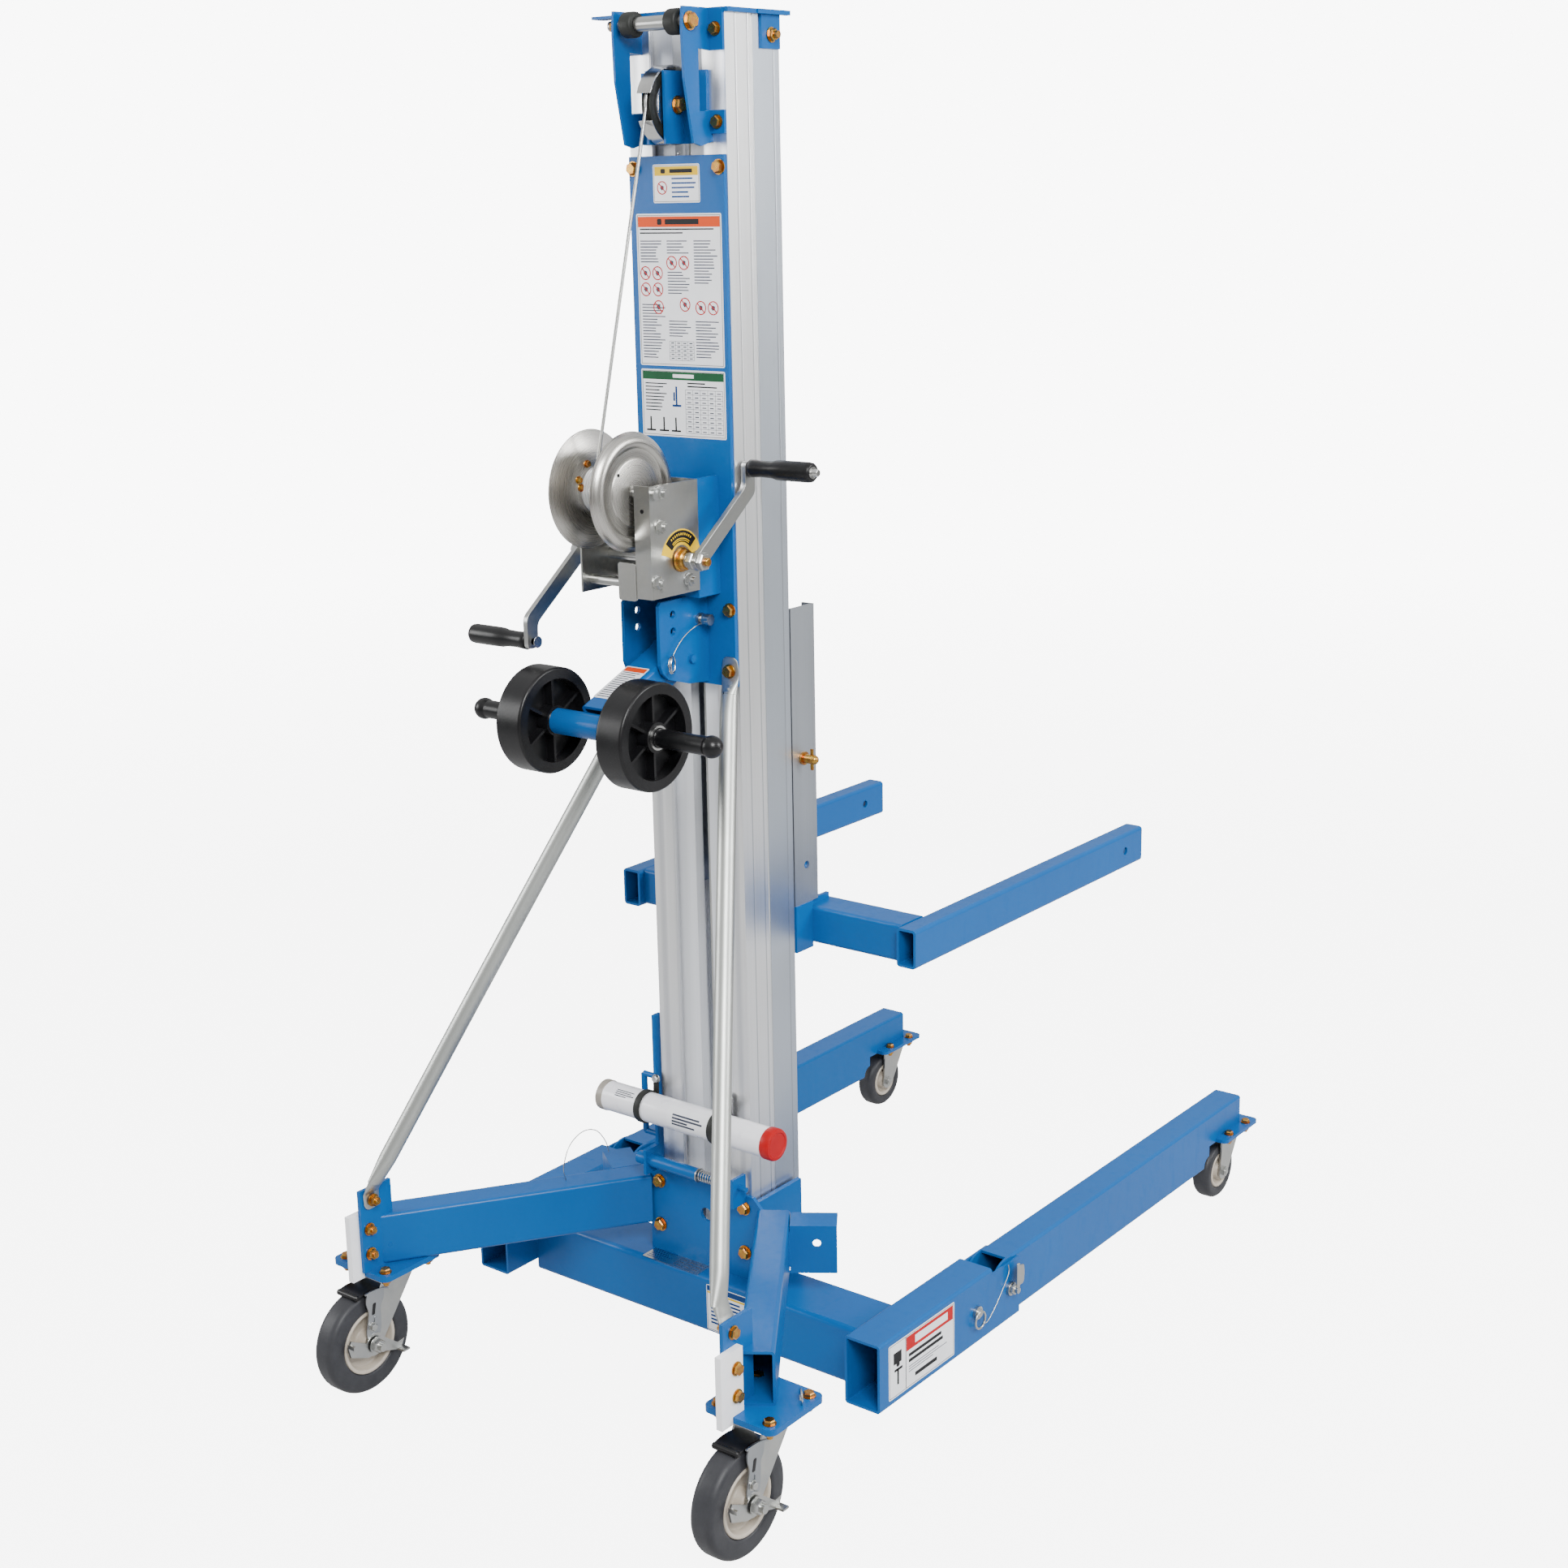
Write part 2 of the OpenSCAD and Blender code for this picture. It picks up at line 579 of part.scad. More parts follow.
// ---- operator side ----
module operator_plate() {
  color(blue) difference() {
    box([-plate_w / 2, foot_y, plate_z0], [plate_w / 2, my0, plate_z1]);
    for (x = [-mx + 10, mx - 10], z = [plate_z0 + 23, 1185, plate_z1 - 16])
      cyl_y([x, foot_y - 1, z], 20, 5.5);
  }
}
module winch_pedestal() {
  color(blue) difference() {
    box([-60, ped_y, ped_z0], [60, foot_y, ped_z1]);
    box([-55, ped_y + 5, ped_z0 - 1], [55, foot_y + 1, ped_z1 + 1]);
  }
}
module winch_frame() {
  z0 = ped_z0 + 12;
  color(zinc) {
    difference() {
      union() {
        box([-68, ped_y - 3, z0], [62, ped_y, ped_z1]);
        box([59, drum_y - 10, z0], [62, ped_y, ped_z1]);
        box([-68, drum_y - 10, z0], [-65, ped_y, ped_z1]);
        box([34, drum_y - 10, z0], [62, drum_y - 7, ped_z1]);
      }
      cyl_x([-100, shaft_y, shaft_z], 200, shaft_r + run);
    }
    cyl_x([-73, drum_y, drum_z], 140, 8);
    for (p = [[drum_y + 12, z0 + 16], [ped_y - 24, z0 + 11]]) cyl_x([-70, p[0], p[1]], 136, 7);
  }
}
module drum() {
  color(zinc) translate([0, drum_y, drum_z]) rotate([0, 90, 0]) rotate_extrude() {
    translate([8 + run, drum_x0]) square([core_r - 8, drum_x1 - drum_x0]);
    translate([8 + run, drum_x1]) square([drum_r - 8, 5]);
    translate([8 + run, drum_x1 + 4]) square([gear_r - 8, 9]);
    polygon([[20, drum_x0 + 14], [drum_r, drum_x0], [drum_r, drum_x0 + 3], [20, drum_x0 + 17]]);
  }
}
module crank_shaft() {
  u = [cos(crank_ang), sin(crank_ang)];
  color(zinc) {
    cyl_x([-122, shaft_y, shaft_z], 226, shaft_r);
    cyl_x([drum_x1 + 6, shaft_y, shaft_z], 9, pin_gear_r);
    cyl_x([64, shaft_y, shaft_z], 8, 14);
    for (e = [[90, 1], [-126, -1]]) {
      translate([e[0], shaft_y, shaft_z]) rotate([crank_ang + (e[1] < 0 ? 180 : 0), 0, 0])
        box([0, 0, -12], [8, crank_r - 2, 12]);
      cyl_x([e[0] - 0.5, shaft_y, shaft_z], 9, 16);
      cyl_x([e[0] - 0.5, shaft_y + e[1] * crank_r * u[0], shaft_z + e[1] * crank_r * u[1]], 9, 14);
    }
    cyl_x([92, shaft_y + crank_r * u[0], shaft_z + crank_r * u[1]], 118, 5);
    cyl_x([-238, shaft_y - crank_r * u[0], shaft_z - crank_r * u[1]], 118, 5);
  }
}
module grip() {
  rotate([0, 90, 0]) rotate_extrude() polygon([[5 + run, 0], [10, 0], [13.5, 22], [14, 60], [13, 104],
                                               [10, 108], [5 + run, 108]]);
}
module crank_grip_right() {
  color(black) translate([99, shaft_y + crank_r * cos(crank_ang), shaft_z + crank_r * sin(crank_ang)]) grip();
}
module crank_grip_left() {
  color(black) translate([-127, shaft_y - crank_r * cos(crank_ang), shaft_z - crank_r * sin(crank_ang)])
    mirror([1, 0, 0]) grip();
}
module winch_cable() {
  a = [-20, drum_y - core_r - rope_r - 0.5, drum_z + 4];
  b = [0, sheave_y - wrap_r, sheave_z];
  color(zinc) {
    rod(a, b, rope_r);
    for (p = [b, [0, rope_y, sheave_z]]) translate(p) sphere(r = rope_r + 0.08);
    translate([0, sheave_y, sheave_z]) rotate([90, 0, 90])
      rotate_extrude(angle = 180) translate([wrap_r, 0]) circle(r = rope_r, $fn = 32);
    cyl_z([0, rope_y, m_z0 + 14], sheave_z - m_z0 - 14, rope_r);
  }
}

// ---- dolly ----
module dolly_bracket() {
  color(blue) {
    box([-35, foot_y - 5, plate_z0 + 12], [35, foot_y, 1207]);
    for (s = [0, 1]) mirror([s, 0, 0]) difference() {
      rotate([90, 0, 90]) translate([0, 0, 29.5]) linear_extrude(5.5)
        polygon([[foot_y, plate_z0 + 4], [foot_y, 1207], [-166, 1207], [-171, 1202], [-171, 1118],
                 [-166, 1106], [-154, 1096], [-110, plate_z0 + 8]]);
      for (p = [[-142, 1187], [-142, 1163]]) cyl_x([20, p[0], p[1]], 30, 5.5);
      cyl_x([20, -84, 1172], 30, 5 + run);
    }
    cyl_x([-40, dolly_py, dolly_pz], 80, 6);
  }
}
module dolly_arm() {
  dy = axle_y - dolly_py;
  dz = axle_z - dolly_pz;
  l = norm([dy, dz]);
  color(blue) difference() {
    union() {
      translate([0, dolly_py, dolly_pz]) rotate([atan2(-dz, -dy), 0, 0]) translate([0, 14 - l, 0])
        tube_y(52, 44, l - 14, 4, 5);
      for (s = [-1, 1]) cyl_x([s * 24 - 2, dolly_py, dolly_pz], 4, 22);
      cyl_x([-dolly_x + dolly_tread / 2 + 2, axle_y, axle_z], 2 * dolly_x - dolly_tread - 4, 18);
      cyl_x([-dolly_x - 60, axle_y, axle_z], 2 * dolly_x + 120, 9);
      translate([0, axle_y, axle_z]) rotate([90, 0, 90]) cylinder(h = 40, r = 18, center = true);
    }
    cyl_x([-50, dolly_py, dolly_pz], 100, 6 + run);
  }
}
module dolly_wheel() {
  r = dolly_d / 2;
  w = dolly_tread;
  rotate([0, 90, 0]) {
    rotate_extrude() {
      translate([r - 16, -w / 2]) square([13, w]);
      translate([r - 4, -w / 2 + 4]) square([4, w - 8]);
      translate([r - 4, -w / 2 + 4]) circle(r = 4, $fn = 32);
      translate([r - 4, w / 2 - 4]) circle(r = 4, $fn = 32);
      translate([9 + run, -w / 2]) square([12, w]);
      translate([20, -3]) square([r - 35, 6]);
    }
    for (k = [0:5]) rotate([0, 0, 60 * k]) translate([20, -2, -w / 2 + 6]) cube([r - 34, 4, w - 12]);
  }
}
module dolly_wheel_right() { color(black) translate([dolly_x, axle_y, axle_z]) dolly_wheel(); }
module dolly_wheel_left() { color(black) translate([-dolly_x, axle_y, axle_z]) dolly_wheel(); }
module dolly_grips() {
  color(black) for (s = [0, 1]) mirror([s, 0, 0]) translate([dolly_x + dolly_tread / 2 + 2, axle_y, axle_z])
    rotate([0, 90, 0]) difference() {
      union() {
        cylinder(h = 92, r = 13);
        translate([0, 0, 92]) sphere(r = 15.5);
      }
      translate([0, 0, -1]) cylinder(h = 38, r = 9);
    }
}
module dolly_pin() {
  color(zinc) {
    cyl_x([-44, -84, 1172], 92, 5);
    cyl_x([35.2, -84, 1172], 4, 9);
    cyl_x([44, -84, 1172], 12, 8);
  }
}

// ---- small fittings ----
module manual_tube() {
  color(white) cyl_x([-170, -91, 403], 316, 23);
  color(red) cyl_x([145, -91, 403], 17, 24.5);
  color(grey) cyl_x([-178, -91, 403], 12, 24);
}
module hold_down_bar() {
  color(blue) {
    cyl_x([-118, -82, 310], 120, 9.9);
    cyl_x([2, -82, 310], 92, 4);
  }
}
module foot_bolts() {
  color(gold) for (x = bolt_x, z = [45, 118]) {
    cyl_y([x, foot_y - 9, cross_top + z], 25, 5);
    translate([x, foot_y - 6, cross_top + z]) rotate([-90, 0, 0]) cylinder(h = 6, r = 9.5, $fn = 6);
  }
}

place() cross_tube();
place() foot_plate();
place() sleeve_left();
place() sleeve_right();
place() outrigger_left();
place() outrigger_right();
place() wear_pads();
place() brace_left();
place() brace_right();
place() leg_left();
place() leg_right();
place() pivot_pins();
place() lock_pin_left();
place() lock_pin_right();
place() rear_yoke_left();
place() rear_yoke_right();
place() rear_tyre_left();
place() rear_tyre_right();
place() rear_hub_left();
place() rear_hub_right();
place() brake_pedal_left();
place() brake_pedal_right();
place() front_yoke_left();
place() front_yoke_right();
place() front_tyre_left();
place() front_tyre_right();
place() front_hub_left();
place() front_hub_right();
place() outer_column_left();
place() outer_column_right();
place() mid_mast();
place() inner_mast();
place() carriage_rails();
place() carriage_frame();
place() fork_left();
place() fork_right();
place() rail_pin();
place() top_bracket();
place() roller_shaft();
place() top_roller_left();
place() top_roller_right();
place() sheave();
place() sheave_guard();
place() operator_plate();
place() winch_pedestal();
place() winch_frame();
place() drum();
place() crank_shaft();
place() crank_grip_left();
place() crank_grip_right();
place() winch_cable();
place() dolly_bracket();
place() dolly_arm();
place() dolly_wheel_left();
place() dolly_wheel_right();
place() dolly_grips();
place() dolly_pin();
place() manual_tube();
place() hold_down_bar();
place() foot_bolts();
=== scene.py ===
# %% [markdown]
# # A winch-operated material lift
# The machine is a telescoping aluminium mast on a blue welded base. Two legs point forward under two
# forks, and a hand winch at the back pulls a wire rope over a wheel at the mast's head.
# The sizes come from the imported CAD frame. This lesson adds the finishes and the small parts that the
# frame leaves plain. All the lengths below are written in millimetres from the mast's own centre line,
# because that is how a maker would read them off a drawing, and one function turns them into metres.

# %% Load the frame
import bpy, bmesh, json, math
import numpy as np
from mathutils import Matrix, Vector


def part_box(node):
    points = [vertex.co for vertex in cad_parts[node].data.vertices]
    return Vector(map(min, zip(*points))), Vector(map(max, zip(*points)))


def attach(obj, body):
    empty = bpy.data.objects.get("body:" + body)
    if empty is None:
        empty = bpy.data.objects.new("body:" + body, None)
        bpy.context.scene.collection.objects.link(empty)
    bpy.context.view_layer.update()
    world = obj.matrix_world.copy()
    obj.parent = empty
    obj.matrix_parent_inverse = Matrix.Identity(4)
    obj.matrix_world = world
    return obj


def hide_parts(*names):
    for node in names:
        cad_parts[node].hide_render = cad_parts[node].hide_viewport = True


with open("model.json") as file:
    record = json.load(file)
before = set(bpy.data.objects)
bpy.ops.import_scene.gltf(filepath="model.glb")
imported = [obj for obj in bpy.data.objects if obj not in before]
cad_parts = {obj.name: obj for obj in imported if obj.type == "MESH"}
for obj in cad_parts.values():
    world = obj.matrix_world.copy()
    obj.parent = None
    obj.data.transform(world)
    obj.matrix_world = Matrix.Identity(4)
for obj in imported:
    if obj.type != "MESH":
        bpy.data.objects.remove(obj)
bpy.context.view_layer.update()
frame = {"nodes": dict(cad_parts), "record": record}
nodes = frame["nodes"]
MAST_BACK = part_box("outer_column_left")[0].y + 0.060


def place(points):
    """Millimetres from the mast's centre line on the floor, as metres in the frame."""
    p = np.asarray(points, float) / 1000
    return p + np.array([0, MAST_BACK, 0])


# %% [markdown]
# ## Camera and light
# The camera stands behind the operator's right shoulder and looks slightly down. Its place is fixed
# first, because it decides which faces need the most care. Three large soft lights show the gloss of the
# paint and the pull marks of the aluminium. The surroundings light the machine with a grey that gets
# brighter toward the top, while the camera itself sees plain white behind it.

# %% Camera and light
yaw, pitch, roll = np.radians([38.049, -14.76, -1.127])
ahead = np.array([-np.sin(yaw) * np.cos(pitch), np.cos(yaw) * np.cos(pitch), np.sin(pitch)])
right = np.array([np.cos(yaw), np.sin(yaw), 0])
above = np.cross(right, ahead)
turn = np.stack([right * np.cos(roll) + above * np.sin(roll), above * np.cos(roll) - right * np.sin(roll),
                 -ahead])
lens = bpy.data.cameras.new("view")
lens.lens, lens.sensor_width, lens.clip_end = 51.69, 36, 60
lens.shift_x, lens.shift_y = 0.0051, -0.0009
camera = bpy.data.objects.new("view", lens)
bpy.context.scene.collection.objects.link(camera)
spot = np.eye(4)
spot[:3, :3], spot[:3, 3] = turn.T, place([2048.83, -2489.05, 1756.2])
camera.matrix_world = spot.T.tolist()
bpy.context.scene.camera = camera


def lamp(name, at, aim, size, power, colour=(1, 1, 1)):
    """A square area light at one point that faces another."""
    data = bpy.data.lights.new(name, "AREA")
    data.size, data.energy, data.color = size, power, colour
    o = bpy.data.objects.new(name, data)
    z = np.array(at, float) - np.array(aim, float)
    z /= np.linalg.norm(z)
    x = np.cross([0, 0, 1], z)
    x /= np.linalg.norm(x)
    m = np.eye(4)
    m[:3, 0], m[:3, 1], m[:3, 2], m[:3, 3] = x, np.cross(z, x), z, at
    o.matrix_world = m.T.tolist()
    bpy.context.scene.collection.objects.link(o)
    return o


lamp("key", (3.0, -2.6, 3.6), (0, 0, 0.9), 1.6, 265)
lamp("fill", (-3.2, -2.6, 2.0), (0, 0, 0.9), 1.6, 85)
lamp("side", (3.6, 1.6, 2.4), (0, 0, 1.0), 1.6, 130)
world = bpy.data.worlds.new("studio")
bpy.context.scene.world = world
world.use_nodes = True
sky = world.node_tree
soft, shown = sky.nodes["Background"], sky.nodes.new("ShaderNodeBackground")
ray, blend = sky.nodes.new("ShaderNodeLightPath"), sky.nodes.new("ShaderNodeMixShader")
look, split = sky.nodes.new("ShaderNodeTexCoord"), sky.nodes.new("ShaderNodeSeparateXYZ")
ramp = sky.nodes.new("ShaderNodeMapRange")
for key, value in (("From Min", -0.1), ("From Max", 0.9), ("To Min", 0.28), ("To Max", 1.25)):
    ramp.inputs[key].default_value = value
shown.inputs[1].default_value = 9.0
soft.inputs[0].default_value = shown.inputs[0].default_value = (1, 1, 1, 1)
for a, b in ((look.outputs["Generated"], split.inputs[0]), (split.outputs[2], ramp.inputs[0]),
             (ramp.outputs[0], soft.inputs[1]),
             (ray.outputs["Is Camera Ray"], blend.inputs[0]), (soft.outputs[0], blend.inputs[1]),
             (shown.outputs[0], blend.inputs[2]), (blend.outputs[0], sky.nodes["World Output"].inputs[0])):
    sky.links.new(a, b)
print("camera lens", lens.lens, "mm")

# %% [markdown]
# ## Shapes as functions of two parameters
# Almost every piece here is one of three shapes: a profile turned about an axis, a profile carried along
# a path, or a flat plate with a drawn outline. Each is a grid of points worked out as a whole array.
# Points that fall on each other, as at the pole of a turned shape, are merged afterwards.

# %% Grids, turned shapes and swept shapes
def unit(v):
    v = np.asarray(v, float)
    return v / np.linalg.norm(v, axis=-1, keepdims=True)


def grid(points, wrap_u=False, wrap_v=True, caps=False):
    """A grid of points P(u, v) with four-sided faces between neighbours; caps close the first and last rows."""
    m, n = points.shape[:2]
    i = np.arange(m if wrap_u else m - 1)[:, None]
    j = np.arange(n if wrap_v else n - 1)[None, :]
    k, l = (i + 1) % m, (j + 1) % n
    faces = np.stack([i * n + j + 0 * k, i * n + l, k * n + l, k * n + j], -1).reshape(-1, 4).tolist()
    if caps:
        faces += [list(range(n))[::-1], list(range((m - 1) * n, m * n))]
    return points.reshape(-1, 3), faces


def lathe(profile, centre, axis=(1, 0, 0), n=48, ring=False, phase=0.0):
    """Radius r and height h of each profile point turned about the axis: centre + h*axis + r*(cos a, sin a)."""
    r, h = np.array(profile, float).T
    axis = unit(axis)
    e1 = unit(np.cross(axis, (0, 0, 1) if abs(axis[2]) < 0.9 else (0, 1, 0)))
    e2 = np.cross(axis, e1)
    a = phase + np.arange(n) * 2 * np.pi / n
    circle = np.cos(a)[:, None] * e1 + np.sin(a)[:, None] * e2
    return grid(np.asarray(centre, float) + h[:, None, None] * axis + r[:, None, None] * circle, wrap_u=ring)


def smooth_path(points, n):
    """n points on a Catmull-Rom curve through the given points."""
    p = np.asarray(points, float)
    p = np.vstack([2 * p[0] - p[1], p, 2 * p[-1] - p[-2]])
    t = np.linspace(0, len(p) - 3 - 1e-9, n)
    k = t.astype(int)
    t = (t - k)[:, None]
    a, b, c, d = p[k], p[k + 1], p[k + 2], p[k + 3]
    return 0.5 * (2 * b + (c - a) * t + (2 * a - 5 * b + 4 * c - d) * t**2 + (3 * b - a - 3 * c + d) * t**3)


def ring_profile(r, n=16, flat=1.0):
    a = np.arange(n) * 2 * np.pi / n
    return np.stack([r * np.cos(a), r * flat * np.sin(a)], -1)


def sweep(path, profile, ref=(0, 0, 1), closed=False):
    """A profile of points (a, b) carried along a path: p + a*side + b*up, with side square to path and ref."""
    p = np.asarray(path, float)
    t = np.roll(p, -1, 0) - np.roll(p, 1, 0) if closed else np.gradient(p, axis=0)
    side = unit(np.cross(t, np.broadcast_to(np.asarray(ref, float), p.shape)))
    up = unit(np.cross(side, t))
    q = np.asarray(profile, float)
    q = np.broadcast_to(q, (len(p),) + q.shape[-2:])
    return grid(p[:, None] + q[..., :1] * side[:, None] + q[..., 1:] * up[:, None], wrap_u=closed,
                caps=not closed)


def plate(outline, thick, origin, e1, e2):
    """A flat outline in the plane of e1 and e2, given its thickness along e1 x e2."""
    q = np.asarray(outline, float)
    base = np.asarray(origin, float) + q[:, :1] * unit(e1) + q[:, 1:2] * unit(e2)
    return grid(np.stack([base, base + thick * np.cross(unit(e1), unit(e2))]), caps=True)


def rounded(points, radius, steps=5):
    """An outline whose corners are cut back by the radius and joined with a parabola."""
    p = np.asarray(points, float)
    before, after = np.roll(p, 1, 0) - p, np.roll(p, -1, 0) - p
    cut = np.minimum(radius, 0.48 * np.minimum(np.linalg.norm(before, axis=1), np.linalg.norm(after, axis=1)))
    a, c = p + unit(before) * cut[:, None], p + unit(after) * cut[:, None]
    t = np.linspace(0, 1, steps)[None, :, None]
    return (a[:, None] * (1 - t) ** 2 + 2 * p[:, None] * t * (1 - t) + c[:, None] * t**2).reshape(-1, 2)


print("a ring of", len(ring_profile(1)), "points")

# %% [markdown]
# ## From arrays to a piece
# A piece is a list of shapes, each with its finish. They become one mesh at the origin that rides on a
# body of the frame. Edges sharper than a chosen angle stay crisp and the others are shaded smooth.

# %% Build a piece
def weld(shape):
    """Merges points that fall on each other and drops the faces that vanish."""
    v, f = shape
    keep, new = np.unique(np.round(v, 4), axis=0, return_inverse=True)
    new = new.ravel().tolist()
    f = [list(dict.fromkeys(new[k] for k in face)) for face in f]
    return keep, [face for face in f if len(face) > 2]


total = {"pieces": 0, "faces": 0}


def piece(name, body, slot, parts, bevel=0, crisp=32, replaces=()):
    """Joins (shape, finish) pairs into one object that rides on a body."""
    verts, faces, which, finishes, n = [], [], [], [], 0
    for shape, finish in parts:
        v, f = weld(shape)
        if finish not in finishes:
            finishes.append(finish)
        verts.append(v)
        faces += [[k + n for k in face] for face in f]
        which += [finishes.index(finish)] * len(f)
        n += len(v)
    mesh = bpy.data.meshes.new(name)
    mesh.from_pydata(place(np.vstack(verts)), [], faces)
    mesh.polygons.foreach_set("material_index", which)
    bm = bmesh.new()
    bm.from_mesh(mesh)
    bmesh.ops.recalc_face_normals(bm, faces=bm.faces)
    bm.to_mesh(mesh)
    bm.free()
    mesh.shade_smooth()
    mesh.set_sharp_from_angle(angle=math.radians(crisp))
    for finish in finishes:
        mesh.materials.append(finish)
    o = bpy.data.objects.new(name, mesh)
    bpy.context.scene.collection.objects.link(o)
    if bevel:
        m = o.modifiers.new("edge", "BEVEL")
        m.width, m.segments, m.limit_method, m.angle_limit = bevel / 1000, 2, "ANGLE", math.radians(40)
        m.harden_normals = True
    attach(o, body)
    if replaces:
        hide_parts(*replaces)
    total["pieces"] += 1
    total["faces"] += len(faces)
    print(f"{name}: {len(faces)} faces on {body}")
    return o


# %% [markdown]
# ## Shader maths
# A small class wraps a socket, so that a mask or a bump can be written as ordinary arithmetic. A finish
# holds the material with its main shader, and one method adds any other node.

# %% Shader maths
class Val:
    """A number that varies over the surface; each operator adds one Math node."""

    def __init__(self, tree, socket):
        self.tree, self.socket = tree, socket

    def math(self, op, *others, clamp=False):
        n = self.tree.nodes.new("ShaderNodeMath")
        n.operation, n.use_clamp = op, clamp
        for k, x in enumerate((self,) + others):
            if isinstance(x, Val):
                self.tree.links.new(x.socket, n.inputs[k])
            else:
                n.inputs[k].default_value = x
        return Val(self.tree, n.outputs[0])

    def __add__(self, x): return self.math("ADD", x)
    def __sub__(self, x): return self.math("SUBTRACT", x)
    def __mul__(self, x): return self.math("MULTIPLY", x)
    def __rsub__(self, x): return (self * -1.0) + x
    __radd__, __rmul__ = __add__, __mul__

    def above(self, x, soft=0.01):
        """0 below x and 1 above it, with a soft step."""
        return ((self - (x - soft)) * (0.5 / soft)).math("MULTIPLY", 1.0, clamp=True)


def four(value, socket):
    """A colour of three numbers with an alpha of 1 for a colour socket; any other value as it is."""
    return (*value, 1) if socket.type == "RGBA" and len(value) == 3 else value


class Finish:
    """A material, its main shader and the nodes that feed it."""

    def __init__(self, name, **constants):
        self.mat = bpy.data.materials.new(name)
        self.mat.use_nodes = True
        self.tree = self.mat.node_tree
        self.shader = self.tree.nodes["Principled BSDF"]
        for key, value in constants.items():
            self.set(key, value)

    def set(self, key, value):
        socket = self.shader.inputs[key.replace("_", " ")]
        if isinstance(value, Val):
            self.tree.links.new(value.socket, socket)
        else:
            socket.default_value = four(value, socket)

    def node(self, kind, values=None, out=0, **settings):
        n = self.tree.nodes.new(kind)
        for key, value in settings.items():
            setattr(n, key, value)
        for key, value in (values or {}).items():
            if isinstance(value, Val):
                self.tree.links.new(value.socket, n.inputs[key])
            else:
                n.inputs[key].default_value = four(value, n.inputs[key])
        return Val(self.tree, n.outputs[out])

    def at(self, stretch=(1, 1, 1)):
        """Object coordinates in metres, stretched."""
        here = self.node("ShaderNodeTexCoord", out=3)
        return self.node("ShaderNodeMapping", {"Vector": here, "Scale": stretch})

    def noise(self, scale, stretch=(1, 1, 1), detail=3.0, rough=0.55):
        return self.node("ShaderNodeTexNoise",
                         {"Vector": self.at(stretch), "Scale": scale, "Detail": detail, "Roughness": rough},
                         noise_dimensions="3D")

    def mix(self, factor, a, b):
        """Colour a where the factor is 0 and b where it is 1."""
        n = self.tree.nodes.new("ShaderNodeMix")
        n.data_type = "RGBA"
        for k, x in ((0, factor), (6, a), (7, b)):
            if isinstance(x, Val):
                self.tree.links.new(x.socket, n.inputs[k])
            else:
                n.inputs[k].default_value = tuple(x) + (1,) if isinstance(x, tuple) else x
        return Val(self.tree, n.outputs[2])

    def bump(self, height, strength=0.2, distance=0.001):
        self.set("Normal", self.node("ShaderNodeBump",
                                     {"Height": height, "Strength": strength, "Distance": distance}))
        return self


print("shader helpers ready")

# %% [markdown]
# ## Blue powder coat
# The steel is painted with a bright blue powder that flows out glossy but keeps a fine orange peel. The
# coat is a little lighter and duller where it is thin, so colour and roughness drift slowly over the
# part, and a few rubbed spots are rougher.

# %% Blue paint
def blue_paint():
    """A glossy blue under a thin coat, with slow drift, rubbed spots and orange peel."""
    f = Finish("blue powder coat", Specular_IOR_Level=0.22)
    drift, rub = f.noise(6, detail=4), f.noise(60, (1, 1, 0.35), detail=6)
    f.set("Base Color", f.mix(drift.above(0.5, 0.35), (0.0, 0.078, 0.28), (0.0, 0.092, 0.32)))
    f.set("Roughness", 0.25 + drift * 0.08 + rub.above(0.62, 0.12) * 0.13)
    f.set("Coat Weight", 0.05)
    f.set("Coat Roughness", 0.12)
    return f.bump(f.noise(900, detail=2) * 0.7 + f.noise(140, detail=2), 0.05, 0.0006).mat


BLUE = blue_paint()
print("paint", BLUE.name)

# %% [markdown]
# ## Metals
# The mast is a clear-anodised extrusion: long pull marks run up it, so its noise is stretched along Z.
# Zinc plate is smoother with a faint cloudy tint, and the yellow zinc of the bolts shifts between gold
# and rose. Drawn tube is softer and duller than plate. The stages inside the mast are given a rougher and
# less metallic finish, because a mirror in a deep groove would only show the dark around it.

# %% Metals
COLUMN_EDGE, RIB_PITCH = 0.0855, 0.029
SIDE_LINES = (-0.038, -0.012, -0.002, 0.044)


